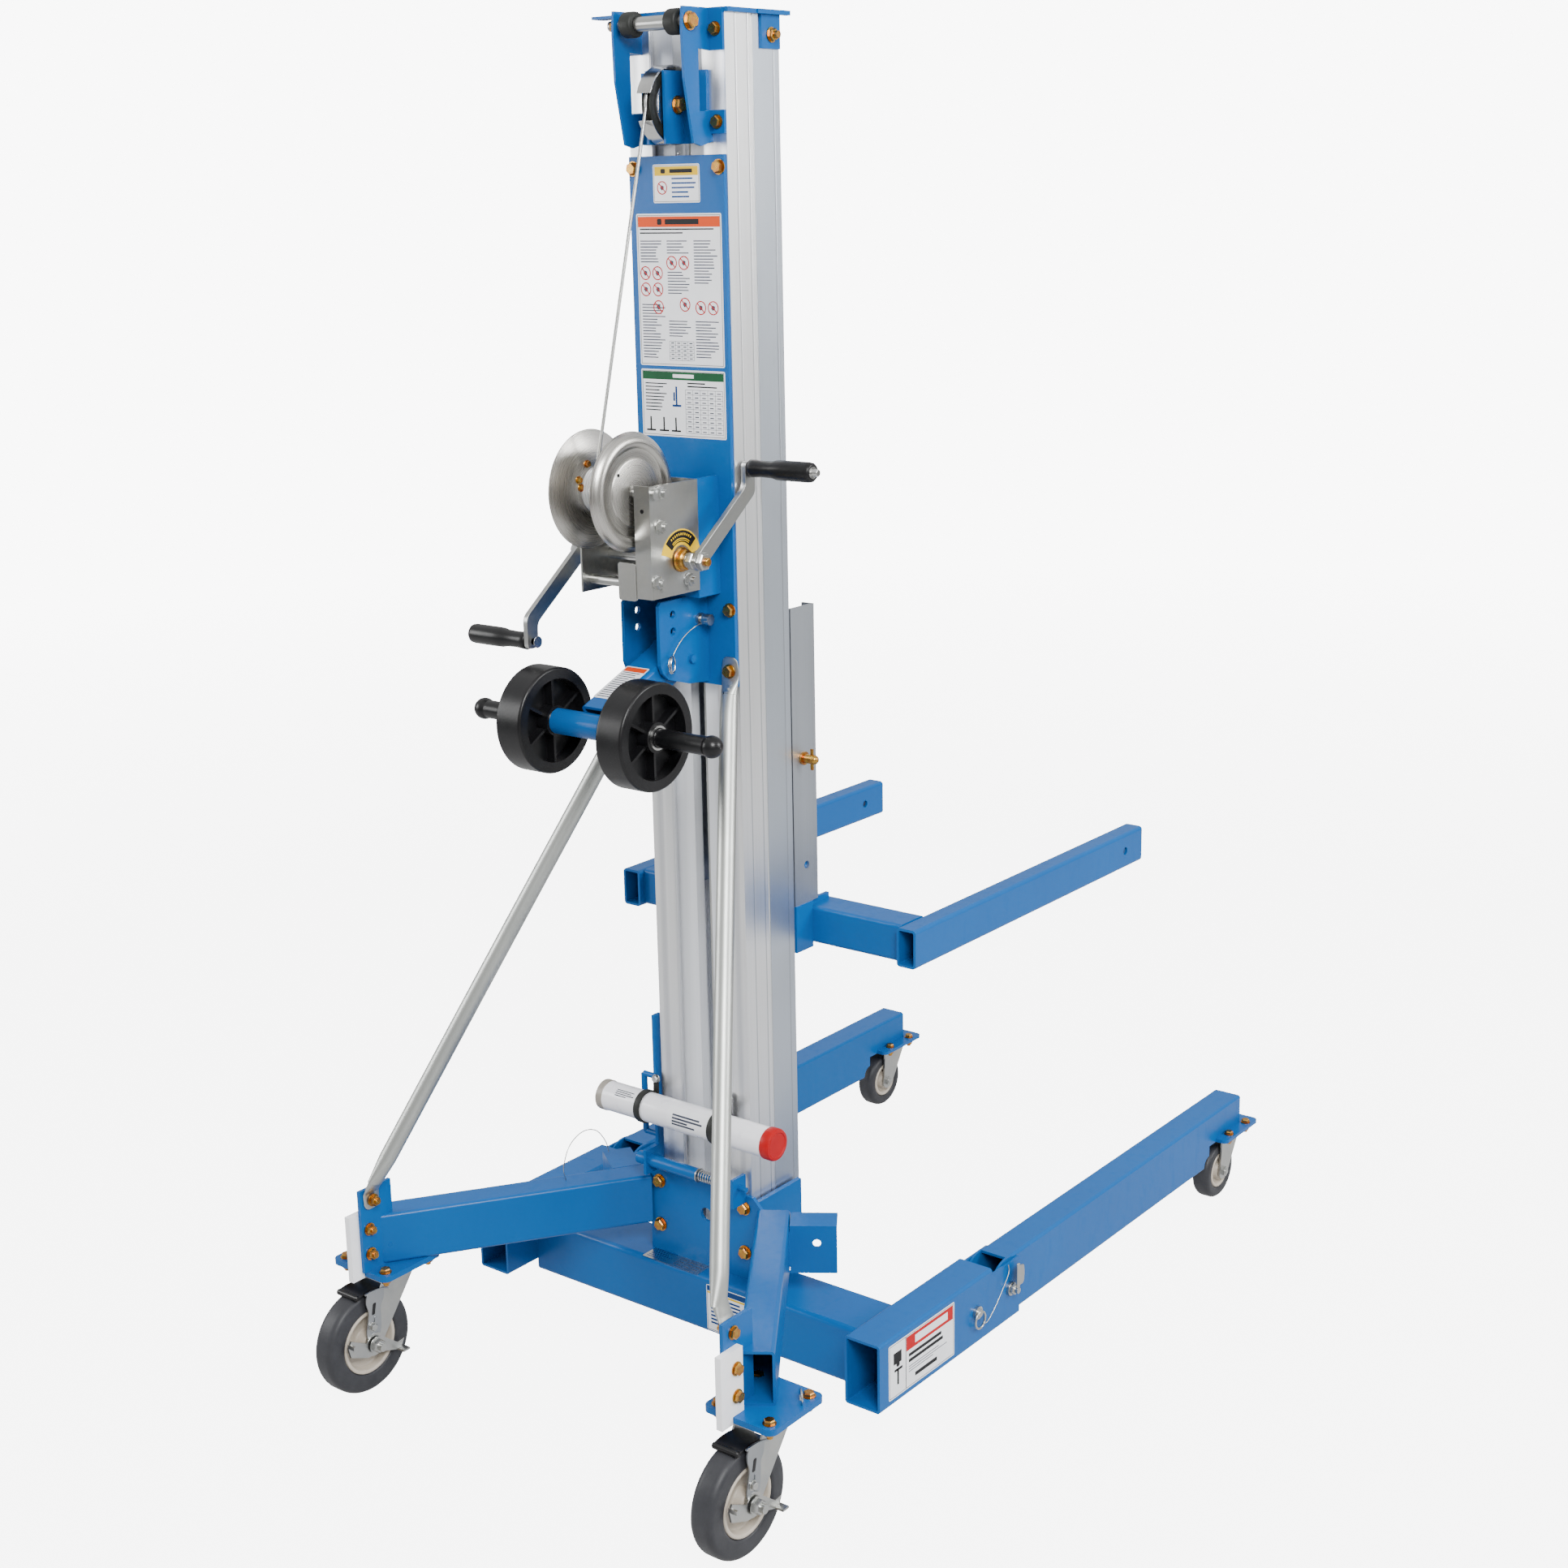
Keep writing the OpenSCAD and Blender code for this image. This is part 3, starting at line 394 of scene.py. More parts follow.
def extrusion(name, tone, rough, ribs_and_shade=False, metal=1.0):
    """Pull marks along Z. The rib option adds valleys up the back with painted shade in them, dark painted
    shade lines in the side grooves, and a front half of each side painted greyer as painted shade.
    """
    f = Finish(name, Metallic=metal)
    fine, wide = f.noise(420, (1, 1, 0.004), detail=5, rough=0.7), f.noise(60, (1, 1, 0.01), detail=3)
    cloud = f.noise(9, (1, 1, 0.5), detail=3)
    base = f.mix((fine * 0.6 + wide * 0.4).above(0.5, 0.25), tuple(c * 0.86 for c in tone), tone)
    height = fine + wide * 0.8
    if ribs_and_shade:
        x, y = (f.node("ShaderNodeSeparateXYZ", {"Vector": f.at()}, out=k) for k in (0, 1))
        valley = ((x.math("ABSOLUTE") - COLUMN_EDGE) * (2 * math.pi / RIB_PITCH)).math("COSINE")
        # painted shade: the rib valleys at the back are darkened toward grey in the colour, on top of their
        # bump
        deep = (0.0 - valley).above(0.45, 0.5)
        middle = float(MAST_BACK)
        # painted shade: the front half of each side is painted greyer and bluer
        front = y.above(middle - 0.002, 0.0012)
        # painted shade: dark lines painted along the grooves on each side, on top of their bump
        lines = sum((1.0 - (y - (middle + c)).math("ABSOLUTE").above(0.0011, 0.0005) for c in SIDE_LINES), 0.0)
        # the three mixes below paint shade into the colour: front half of each side, rib valleys, side groove
        # lines
        base = f.mix(front * 0.8, base, tuple(c * k for c, k in zip(tone, (0.5, 0.56, 0.64))))
        base = f.mix(deep * 0.35, base, (0.3, 0.32, 0.37))
        base = f.mix(lines * 0.6, base, (0.3, 0.31, 0.34))
        height = height + valley * 1.5 - lines * 2.0
    f.set("Base Color", base)
    f.set("Roughness", rough - 0.06 + fine * 0.1 + cloud * 0.07)
    return f.bump(height, 0.16, 0.0006).mat


def plated(name, tone, shade, rough, scale=26):
    """A plated metal whose colour drifts between a tone and a shade."""
    f = Finish(name, Metallic=1.0)
    cloud, grain = f.noise(scale, detail=5), f.noise(700, detail=3)
    f.set("Base Color", f.mix(cloud.above(0.5, 0.22), tone, shade))
    f.set("Roughness", rough + cloud * 0.12 + grain * 0.05)
    return f.bump(grain + cloud, 0.06, 0.0005).mat


MAST = extrusion("mast extrusion", (0.9, 0.905, 0.91), 0.36, ribs_and_shade=True)
INNER = extrusion("inner extrusion", (0.8, 0.82, 0.85), 0.5, metal=0.35)
RAIL = extrusion("rail extrusion", (0.46, 0.49, 0.53), 0.4)
ZINC = plated("bright zinc", (0.5, 0.5, 0.47), (0.4, 0.41, 0.41), 0.22)
STAMPED = plated("stamped zinc", (0.4, 0.41, 0.42), (0.32, 0.34, 0.36), 0.28, 18)
GOLD = plated("yellow zinc", (0.52, 0.34, 0.06), (0.42, 0.13, 0.05), 0.2, 160)
TUBE = plated("drawn tube", (0.5, 0.515, 0.49), (0.42, 0.435, 0.42), 0.34, 12)
STEEL = plated("polished steel", (0.62, 0.62, 0.6), (0.5, 0.5, 0.49), 0.14, 30)


def spun_steel():
    """Steel spun on a lathe: its scratches run in circles about the drum's axis."""
    f = Finish("spun steel", Metallic=1.0)
    c = place([0, -204, 1363])
    here = f.node("ShaderNodeTexCoord", out=3)
    off = f.node("ShaderNodeVectorMath", {0: here, 1: tuple(c)}, operation="SUBTRACT")
    off = f.node("ShaderNodeVectorMath", {0: off, 1: (0, 1, 1)}, operation="MULTIPLY")
    far = f.node("ShaderNodeVectorMath", {0: off}, out=1, operation="LENGTH")
    rings = f.node("ShaderNodeTexNoise", {"W": far * 900.0, "Scale": 1.0, "Detail": 6.0, "Roughness": 0.7},
                   noise_dimensions="1D")
    f.set("Base Color", f.mix(rings.above(0.5, 0.3), (0.4, 0.385, 0.36), (0.55, 0.535, 0.5)))
    f.set("Roughness", 0.2 + rings * 0.18)
    return f.bump(rings, 0.2, 0.0004).mat


SPUN = spun_steel()
print("metals ready")

# %% [markdown]
# ## Rubber and plastics
# The caster tread is a grey rubber with fine scuffs, the hub a cream nylon, the dolly wheels and grips
# black moulded plastic with a soft sheen, and the wear blocks and the document tube white plastic.

# %% Rubber and plastics
def moulded(name, tone, shade, rough, grain=500, strength=0.08, **more):
    """A plastic, rubber or print whose colour drifts between a tone and a shade."""
    f = Finish(name, **more)
    cloud, fine = f.noise(35, detail=5), f.noise(grain, detail=3)
    f.set("Base Color", f.mix(cloud.above(0.52, 0.2), tone, shade))
    f.set("Roughness", rough + cloud * 0.14)
    return f.bump(fine + cloud * 0.5, strength, 0.0006).mat


TREAD = moulded("grey tread", (0.022, 0.023, 0.027), (0.034, 0.035, 0.04), 0.38, 320, 0.16,
                Specular_IOR_Level=0.3)
CREAM = moulded("cream hub", (0.42, 0.37, 0.3), (0.48, 0.43, 0.36), 0.35)
BLACK = moulded("black moulding", (0.003, 0.003, 0.0035), (0.006, 0.006, 0.007), 0.26, 260, 0.12,
                Specular_IOR_Level=0.32)
RUBBER = moulded("roller rubber", (0.011, 0.012, 0.011), (0.02, 0.022, 0.02), 0.45, 420, 0.16,
                 Specular_IOR_Level=0.3)
NYLON = moulded("white block", (0.84, 0.85, 0.88), (0.9, 0.9, 0.92), 0.4, 300, 0.06)
WHITE = moulded("white tube", (0.78, 0.78, 0.82), (0.86, 0.86, 0.89), 0.22, 200, 0.04, Coat_Weight=0.4)
RED = moulded("red cap", (0.34, 0.0, 0.002), (0.4, 0.001, 0.004), 0.3, Specular_IOR_Level=0.25)
SMOKE = moulded("smoke cap", (0.23, 0.21, 0.18), (0.3, 0.28, 0.24), 0.3)
print("plastics ready")

# %% [markdown]
# ## Finishes on the frame
# The frame's own nodes keep their shape. Each gets the finish of its material slot here.

# %% Finishes on the frame
by_slot = {"blue_paint": BLUE, "mast_alu": MAST, "rail_alu": RAIL, "brace_alu": TUBE, "zinc": ZINC,
           "gold_zinc": GOLD,
           "grey_tyre": TREAD, "cream_hub": CREAM, "black_rubber": RUBBER, "black_plastic": BLACK,
           "white_plastic": NYLON, "wire_rope": ZINC}
by_node = {"mid_mast": INNER, "inner_mast": INNER}
for part in frame["record"]["subparts"]:
    mesh = nodes[part["node"]].data
    mesh.materials.clear()
    mesh.materials.append(by_node.get(part["node"], by_slot[part["material_slot"]]))

# %% [markdown]
# ## Floor
# The floor is a pale disc that is mostly clear, so the white of the background shows through it. It
# is fully clear at its rim.

# %% Floor
CLEAR_NEAR = 0.7
FADE_AT, FADE_OVER = 5.0, 2.4
floor_finish = Finish("floor", Base_Color=(0.9, 0.9, 0.91), Roughness=0.7, Emission_Color=(1, 1, 1),
                      Emission_Strength=1.15)
fade = floor_finish.node("ShaderNodeVectorMath", {0: floor_finish.at()}, out=1,
                         operation="LENGTH").above(FADE_AT, FADE_OVER)
clear = floor_finish.node("ShaderNodeBsdfTransparent")
both = floor_finish.node("ShaderNodeMixShader",
                         {0: fade * (1 - CLEAR_NEAR) + CLEAR_NEAR,
                          1: Val(floor_finish.tree, floor_finish.shader.outputs[0]), 2: clear})
floor_finish.tree.links.new(both.socket, floor_finish.tree.nodes["Material Output"].inputs[0])
v, f = weld(lathe([(0, 0), (9, 0)], (0, 0, 0), (0, 0, 1), 64))
floor_mesh = bpy.data.meshes.new("floor")
floor_mesh.from_pydata(v, [], f)
floor_mesh.materials.append(floor_finish.mat)
floor = bpy.data.objects.new("floor", floor_mesh)
bpy.context.scene.collection.objects.link(floor)

# %% [markdown]
# ## Bolts
# A hex bolt is a six-sided turned shape whose top corners are turned off, on a washer. Its nut and the
# end of its thread show on the far side. One function makes the pair, and each body gets all its bolts
# as one piece.

# %% Bolts
def hexagon(p, axis, r, h, lift=0.0):
    """A hexagon of height h with its outer corners turned down."""
    return lathe([(0, lift), (r, lift), (r, lift + 0.72 * h), (0.86 * r, lift + h), (0, lift + h)], p, axis, 6,
                 phase=0.3)


def disc(p, axis, r, thick):
    return lathe([(0, 0), (r, 0), (r, thick), (0, thick)], p, axis, 24)


def bolt(p, axis, r=5.0, grip=None, head=True):
    """A hex head on a washer at p that faces along axis; a grip adds a nut and a thread end that far behind."""
    p, a = np.asarray(p, float), unit(axis)
    out = [disc(p, a, 2.05 * r, 1.6), hexagon(p, a, 1.75 * r, 1.25 * r, 1.6)]
    if not head:
        out.append(disc(p + a * (1.6 + 1.2 * r), a, r, 1.1 * r))
    if grip:
        q = p - a * grip
        out += [disc(q, -a, 2.05 * r, 1.6), hexagon(q, -a, 1.75 * r, 1.5 * r, 1.6),
                disc(q - a * (1.6 + 1.5 * r), -a, 0.9 * r, 0.8 * r)]
    return out


def bolts(name, body, rows, finish=GOLD, slot="gold_zinc", **more):
    return piece(name, body, slot, [(s, finish) for row in rows for s in bolt(**row)], crisp=25, **more)


foot, top = -66, 152
REAR_X, REAR_PLATE_Y, REAR_AXLE = 365, -390, (-450, 81)
FRONT_X, FRONT_PLATE_Y, FRONT_AXLE = 364.5, 928, (906, 51)
SIDES = (("l", "left", -1), ("r", "right", 1))
bolts("plate_bolts", "base", [dict(p=(x, foot, z), axis=(0, -1, 0)) for x in (-76, 76) for z in (1185, 1787)])
bolts("foot_bolt_heads", "base",
      [dict(p=(x, foot, top + z), axis=(0, -1, 0), r=5.5) for x in (-92, 76) for z in (45, 118)],
      replaces=["foot_bolts"])
head_rows = [dict(p=(x * 74, -65, z), axis=(0, -1, 0), r=4.6) for x in (-1, 1) for z in (1963, 1845)]
bolts("head_bolts", "base", head_rows + [dict(p=(90, 35, 1958), axis=(1, 0, 0), r=5, head=False),
                                         dict(p=(-90, 35, 1958), axis=(-1, 0, 0), r=5, head=False)])
bolts("roller_bolts", "base", [dict(p=(62, -103, 1972), axis=(1, 0, 0), r=6),
                               dict(p=(-62, -103, 1972), axis=(-1, 0, 0), r=6)])
print("bolts so far", total)

# %% Caster and corner bolts
corner, end = [], []
for s in (-1, 1):
    corner += [dict(p=(s * REAR_X + x, REAR_PLATE_Y + y, 197), axis=(0, 0, 1), r=4.6, grip=8.5)
               for x in (-43, 43) for y in (-43, 43)]
    end += [dict(p=(s * 360, -440, z), axis=(s, 0, 0), r=4.8, grip=16.5) for z in (225, 265)]
    end += [dict(p=(s * 350, -433, 311), axis=(s, 0, 0), r=4.8, grip=11)]
    end += [dict(p=(s * 76, -70.5, 1098), axis=(0, -1, 0), r=5)]
bolts("corner_bolts", "base", corner)
bolts("end_plate_bolts", "base", end)
for side, _, s in SIDES:
    bolts(f"tip_bolts_{side}", f"leg_{side}",
          [dict(p=(s * FRONT_X + x, FRONT_PLATE_Y + y, 128), axis=(0, 0, 1), r=4, grip=6.5) for x in (-35, 35)
           for y in (-32, 32)])

# %% [markdown]
# ## Casters
# A caster is a grey tread on a cream wheel with a deep dish, a zinc fork, and a ball race under the
# plate. The tread and the hub are turned shapes with round shoulders, so they read as moulded.

# %% Wheels
def caster_wheel(name, body, centre, d, tread, stands_for, hub_r):
    """A tread and a dished hub; they take the place of the two CAD nodes in stands_for."""
    w, r = tread / 2, d / 2
    t = 0.19 * d
    tyre = rounded([(r, -w * 0.62), (r, w * 0.62), (r - 5, w), (r - t, w), (r - t, -w), (r - 5, -w)], 6)
    rim = rounded([(r - t, w - 1), (r - t - 6, w - 1), (r - t - 9, 5), (hub_r + 12, 4), (hub_r + 8, w + 0.5),
                   (hub_r, w + 0.5),
                   (hub_r, -w - 0.5), (hub_r + 8, -w - 0.5), (hub_r + 12, -4), (r - t - 9, -5),
                   (r - t - 6, -w + 1), (r - t, -w + 1)], 3)
    piece(name + "_tread", body, "grey_tyre", [(lathe(tyre, centre, n=96, ring=True), TREAD)], crisp=50,
          replaces=[stands_for[0]])
    piece(name + "_hub", body, "cream_hub", [(lathe(rim, centre, n=72, ring=True), CREAM),
          (lathe([(hub_r - 0.3, -w - 1), (hub_r + 3, -w - 1), (hub_r + 3, w + 1), (hub_r - 0.3, w + 1)], centre,
                 n=40, ring=True), STEEL)],
          replaces=[stands_for[1]])


for side, word, s in SIDES:
    caster_wheel(f"rear_{side}", f"rear_wheel_{side}", (s * REAR_X, *REAR_AXLE), 162, 38,
                 (f"rear_tyre_{word}", f"rear_hub_{word}"), 6.3)
    caster_wheel(f"front_{side}", f"front_wheel_{side}", (s * FRONT_X, *FRONT_AXLE), 102, 32,
                 (f"front_tyre_{word}", f"front_hub_{word}"), 5.3)


def race(at, r, top):
    """The ball race: two pressed cups with a groove between them."""
    h = np.array([(r * 0.55, 0), (r, 0), (r, -2.5), (r * 0.92, -3.6), (r * 0.97, -5), (r * 0.9, -8),
                  (r * 0.55, -8)])
    return lathe(h, (at[0], at[1], top), (0, 0, 1), 48, ring=True)


for side, _, s in SIDES:
    piece(f"rear_race_{side}", f"rear_swivel_{side}", "zinc",
          [(race((s * REAR_X, REAR_PLATE_Y), 31, 188.6), STAMPED)])
    piece(f"front_race_{side}", f"front_swivel_{side}", "zinc",
          [(race((s * FRONT_X, FRONT_PLATE_Y), 24, 121.8), STAMPED)])

# %% [markdown]
# ## The winch drum
# The drum has a dished flange on the left and a spun cover over the gear on the right. Both are turned
# shapes whose profile steps in and out, and the rolled rim catches the light as it does on pressed steel.
# The wire is wound in close rings between them.

# %% Drum
drum = (0, -204, 1363)
dish = [(8.3, -44), (52, -44), (80, -55.5), (81.6, -55.5), (82, -54), (53, -41.6), (8.3, -41.6)]
cover = [(8.3, 29.5), (44, 29.5), (46, 29), (47, 27.6), (58, 27.4), (60, 28.2), (63, 30.4), (68, 31.4),
         (73, 30.6), (77, 27.8),
         (80.6, 24), (82, 20.5), (81.2, 18), (78, 16.6), (76, 13.5), (8.3, 13.5)]
along = np.arange(-41, 13.6, 0.625)
full = np.clip((along + 14) / -4, 0, 1)
wound = np.stack([26.2 + 2.5 * np.abs(np.sin(np.pi * along / 5)) + full * 3.8, along], -1)
wound = np.vstack([[(8.3, -41)], wound, [(8.3, 13.5)]])
WIRE = Finish("galvanised wire", Metallic=1.0)
lay_of = WIRE.node("ShaderNodeTexWave", {"Vector": WIRE.at((1, 1, 1)), "Scale": 330.0, "Distortion": 0.6},
                   bands_direction="DIAGONAL")
WIRE.set("Base Color", WIRE.mix(lay_of, (0.42, 0.43, 0.43), (0.84, 0.85, 0.85)))
WIRE.set("Roughness", 0.42 - lay_of * 0.12)
WIRE = WIRE.bump(lay_of, 0.5, 0.0006).mat
clamp = [(s, GOLD) for y, z in ((-240, 1380), (-236, 1369), (-222, 1400))
         for s in bolt((-41.6, y, z), (1, 0, 0), 2.6)]
piece("winch_drum", "drum_gear", "zinc",
      [(lathe(dish, drum, n=120, ring=True), SPUN), (lathe(cover, drum, n=120, ring=True), SPUN),
      (lathe(wound, drum, n=60, ring=True), WIRE),
      (lathe([(0, -60), (13, -60), (13, -44), (0, -44)], drum, n=6), ZINC)]
      + clamp + [(lathe([(0, 29.4), (2.4, 29.4), (2.4, 29.8), (0, 29.8)], (0, -238, 1390), n=16), BLACK)],
      replaces=["drum"])

# %% [markdown]
# ## The wire rope
# The rope leaves the back of the drum, runs over the wheel at the head and goes down inside the mast. Six
# strands are laid round its core, so its section is a circle with six lobes that turns as it goes:
# r(a, s) = 2.1 + 0.4 |cos 3(a - twist s)|, where the twist makes one turn in each LAY of length.

# %% Wire rope
over = np.radians(np.linspace(183, 0, 40))
line = np.vstack([[(-20, -233, 1367)], [(-10, -178, 1617)],
                  np.stack([0 * over, -78 + 45 * np.cos(over), 1868 + 45 * np.sin(over)], -1),
                  [(0, -33, 1000)], [(0, -33, 180)]])
run = np.r_[0, np.cumsum(np.linalg.norm(np.diff(line, axis=0), axis=1))]
s_at = np.r_[np.linspace(0, 680, 380), np.linspace(684, run[-1], 240)]
path = np.stack([np.interp(s_at, run, line[:, k]) for k in range(3)], -1)
a = np.arange(18) * 2 * np.pi / 18
LAY = 34
lobes = 2.1 + 0.4 * np.abs(np.cos(3 * (a[None] - s_at[:, None] * 2 * np.pi / LAY)))
piece("lift_rope", "base", "wire_rope",
      [(sweep(path, np.stack([lobes * np.cos(a), lobes * np.sin(a)], -1), ref=(1, 0, 0)), ZINC)],
      crisp=80, replaces=["winch_cable"])
print("rope on show", round(run[2] / 1000, 3), "m of", round(run[-1] / 1000, 3))

# %% [markdown]
# ## Winch frame details, cranks and grips
# Lock nuts close the winch's side plates. Each crank is a flat bar with a knee near the grip, cut from an
# outline that follows the bar's centre line at a fixed distance. The grips are turned with a slight waist.

# %% Winch nuts and badge
VINYL_Y = moulded("yellow vinyl", (0.72, 0.44, 0.0), (0.78, 0.5, 0.0), 0.35, Specular_IOR_Level=0.2)
INK = moulded("black print", (0.004, 0.004, 0.005), (0.008, 0.008, 0.009), 0.4, Specular_IOR_Level=0.2)
nuts = []
for y, z in ((-193, 1364), (-194, 1318), (-203, 1243), (-137, 1238)):
    nuts += [(s, ZINC) for s in bolt((62, y, z), (1, 0, 0), 5, head=False)]


def arc(radius, start, end, profile, centre, n=24):
    """A profile (radial, along x) carried round an arc about the x axis, from one angle to another."""
    t = np.radians(np.linspace(start, end, n))
    p = np.asarray(centre, float) + np.stack([0 * t, radius * np.cos(t), radius * np.sin(t)], -1)
    return sweep(p, profile, ref=(1, 0, 0))


def strip(w, h):
    return [(-w / 2, -h / 2), (w / 2, -h / 2), (w / 2, h / 2), (-w / 2, h / 2)]


hub = np.array([0, -152, 1268])
badge = [(arc(31, 14, 166, strip(22, 0.5), hub + (62.2, 0, 0)), VINYL_Y),
         (arc(32, 38, 142, strip(16, 0.5), hub + (62.5, 0, 0)), INK)]
badge += [(arc(r, 52, 128, strip(1.1, 0.5), hub + (62.8, 0, 0)), VINYL_Y) for r in (26.5, 29)]
badge += [(arc(35, 88 + k * 7, 91 + k * 7, strip(3.2, 0.5), hub + (62.8, 0, 0)), VINYL_Y) for k in range(-5, 6)]
guard = plate(rounded([(0, 0), (32, 0), (32, 52), (0, 52)], 4), 3, (2, -212, 1216), (1, 0, 0), (0, 0, 1))
piece("winch_details", "base", "zinc", nuts + badge + [(guard, ZINC),
      (lathe([(0, 0), (3, 0), (3, 0.4), (0, 0.4)], (48, -214, 1340), (0, -1, 0), 16), BLACK)], bevel=0.4)

# %% Cranks
u = np.array([np.cos(np.radians(46)), np.sin(np.radians(46))])


def bar(sign):
    """The outline of one crank bar: its centre line shifted 11 mm to each side, with round ends."""
    grip = sign * 160 * u
    knee = grip - sign * np.array([0, 30])
    d = unit(knee)
    n0 = np.array([-d[1], d[0]])
    n1 = unit(n0 + sign * np.array([-1, 0])) if sign > 0 else unit(n0 + np.array([1, 0]))
    return rounded([-12 * d + 11.5 * n0, knee + 12 * n1, grip + sign * np.array([-10.5, 10]),
                    grip + sign * np.array([10.5, 10]),
                    knee - 12 * n1, -12 * d - 11.5 * n0], 8)


crank = [(lathe([(0, -124), (8.8, -124), (9, -122), (9, 104), (8, 106), (0, 106)], hub, n=32), STEEL),
         (lathe([(9.2, 62.5), (17, 62.5), (17.5, 64), (16, 66), (14.5, 66), (14.5, 72), (13, 74), (9.2, 74)],
                hub, n=48, ring=True), GOLD),
         (lathe([(9, 74), (11, 74), (11, 78), (9, 78)], hub, n=32, ring=True), ZINC),
         (lathe([(0, 79), (13, 79), (13, 87), (11.5, 88.6), (0, 88.6)], hub, n=6), ZINC),
         (lathe([(0, 98.6), (13.5, 98.6), (13.5, 104.5), (11.5, 106.5), (0, 106.5)], hub, n=6), ZINC),
         (lathe([(0, 106), (6, 106), (6, 111), (5, 112), (0, 112)], hub, n=20), GOLD),
         (plate(bar(1), 8, (90, hub[1], hub[2]), (0, 1, 0), (0, 0, 1)), ZINC),
         (plate(bar(-1), 8, (-126, hub[1], hub[2]), (0, 1, 0), (0, 0, 1)), ZINC),
         (lathe([(0, -133), (13, -133), (13, -126), (0, -126)], hub, n=6), ZINC),
         (lathe([(8.5, 20), (26.5, 20), (26.5, 29), (8.5, 29)], hub, n=40, ring=True), STEEL)]
for s, x in ((1, 90), (-1, -118)):
    c = np.array([x + 4 + s * 4, hub[1] + s * 160 * u[0], hub[2] + s * 160 * u[1]])
    crank.append((lathe([(0, 0), (5.2, 0), (5.2, 117), (4.4, 118.4), (0, 118.4)], c, (s, 0, 0), 24), STEEL))
    crank.append((lathe([(0, 0), (8.5, 0), (8.5, 1.2), (0, 1.2)], c - (8 * s, 0, 0), (-s, 0, 0), 24), STEEL))
piece("crank_bars", "crank", "zinc", crank, bevel=0.7, replaces=["crank_shaft"])
hold = [(5.3, 0), (11.2, 0), (12.6, 1.4), (12.2, 8), (11.4, 22), (12, 40), (13.8, 48), (14, 60), (14, 101),
        (13.2, 106), (11.5, 108), (8.8, 108), (5.3, 107)]
for side, word, s, x in (("r", "right", 1, 99), ("l", "left", -1, -127)):
    c = (x, hub[1] + s * 160 * u[0], hub[2] + s * 160 * u[1])
    piece(f"grip_{side}", f"crank_grip_{side}", "black_plastic",
          [(lathe(hold, c, (s, 0, 0), 48, ring=True), BLACK),
          (lathe([(5.4, 104), (8.6, 107.6), (8.2, 108.8), (5.4, 108.6)], c, (s, 0, 0), 32, ring=True), STEEL)],
          crisp=50, replaces=[f"crank_grip_{word}"])

# %% [markdown]
# ## The mast's head
# The rope runs in a grooved wheel that a polished strap guards above and below. Two rubber rollers on a
# shaft let the mast slide over a vehicle's tail when it is loaded lying down.

# %% Head wheel, strap and rollers
axle = (0, -78, 1868)
rim = [(8.1, -8), (36, -8), (36, -7.4), (44, -8), (46, -7), (45.6, -5.6), (42.6, -2.6), (42, 0), (42.6, 2.6),
       (45.6, 5.6), (46, 7), (44, 8),
       (36, 7.4), (36, 8), (8.1, 8)]
piece("head_wheel", "cable_sheave", "black_plastic", [(lathe(rim, axle, n=96, ring=True), RUBBER),
      (lathe([(12, 8), (33, 8), (34, 8.6), (33, 9.2), (14, 9.2), (12, 8.8)], axle, n=72, ring=True), STEEL)],
      replaces=["sheave"])
strap = [(arc(51.2, 48, 163, strip(1.8, 24), axle, 40), STEEL),
         (arc(51.2, 203, 300, strip(1.8, 24), axle, 36), STEEL),
         (arc(50.2, 52, 158, strip(0.8, 2), np.add(axle, (11, 0, 0)), 36), STEEL)]
strap += [(s, GOLD) for s in bolt((17, -78, 1868), (1, 0, 0), 6)]
strap += [(lathe([(0, 0), (2.4, 0), (2, 1.5), (0, 2)], (x, -46, 1806), (0, -1, 0), 12), STEEL)
          for x in (-10, 14)]
piece("strap_guard", "base", "zinc", strap, bevel=0.4)
roll = [(7.4, -10), (11, -10.5), (15, -10.3), (16.6, -8.6), (17, -6), (17, 6), (16.6, 8.6), (15, 10.3),
        (11, 10.5), (7.4, 10)]
for side, word, s in SIDES:
    piece(f"roller_{side}_tread", f"roller_{side}", "black_rubber",
          [(lathe(roll, (s * 38.7, -103, 1972), n=64, ring=True), RUBBER)],
          crisp=60, replaces=[f"top_roller_{word}"])

# %% [markdown]
# ## Braces
# A brace is drawn tube whose ends are hammered flat for a bolt. Its section is an ellipse whose two half
# widths change along the way, from a tab that is thin front to back, through a round tube, to a tab that
# is thin from side to side.

# %% Braces
for side, word, s in SIDES:
    way = np.array([(76, -68.3, 1118), (76, -68.3, 1100), (76.6, -69.5, 1086), (80, -77, 1066), (88, -89, 1040),
                    (203, -254.5, 709),
                    (318, -419.6, 375.4), (327, -431, 350), (336, -433, 333), (342, -433, 322),
                    (342, -433, 308), (342, -433, 297.5)])
    way[:, 0] *= s
    p = smooth_path(way, 150)
    high = p[:, 2]
    keys = [297, 300, 306, 322, 348, 376, 1040, 1066, 1086, 1100, 1114, 1118]
    across = np.interp(high, keys, [1.8, 1.9, 2, 2, 8, 13, 13, 13, 15.4, 16, 13, 8])
    deep = np.interp(high, keys, [8, 12, 15, 15.5, 14, 13, 13, 10, 2.4, 2, 1.9, 1.8])
    a = np.arange(28) * 2 * np.pi / 28
    section = np.stack([across[:, None] * np.cos(a), deep[:, None] * np.sin(a)], -1)
    piece(f"brace_tube_{side}", "base", "brace_alu", [(sweep(p, section, ref=(0, 1, 0)), TUBE)], crisp=60,
          replaces=[f"brace_{word}"])

# %% [markdown]
# ## The document tube
# A white plastic tube hangs across the mast on two rubber straps. It has a red cap, a smoked cap and a
# sticker, drawn here as thin curved patches with plain bars in place of words.

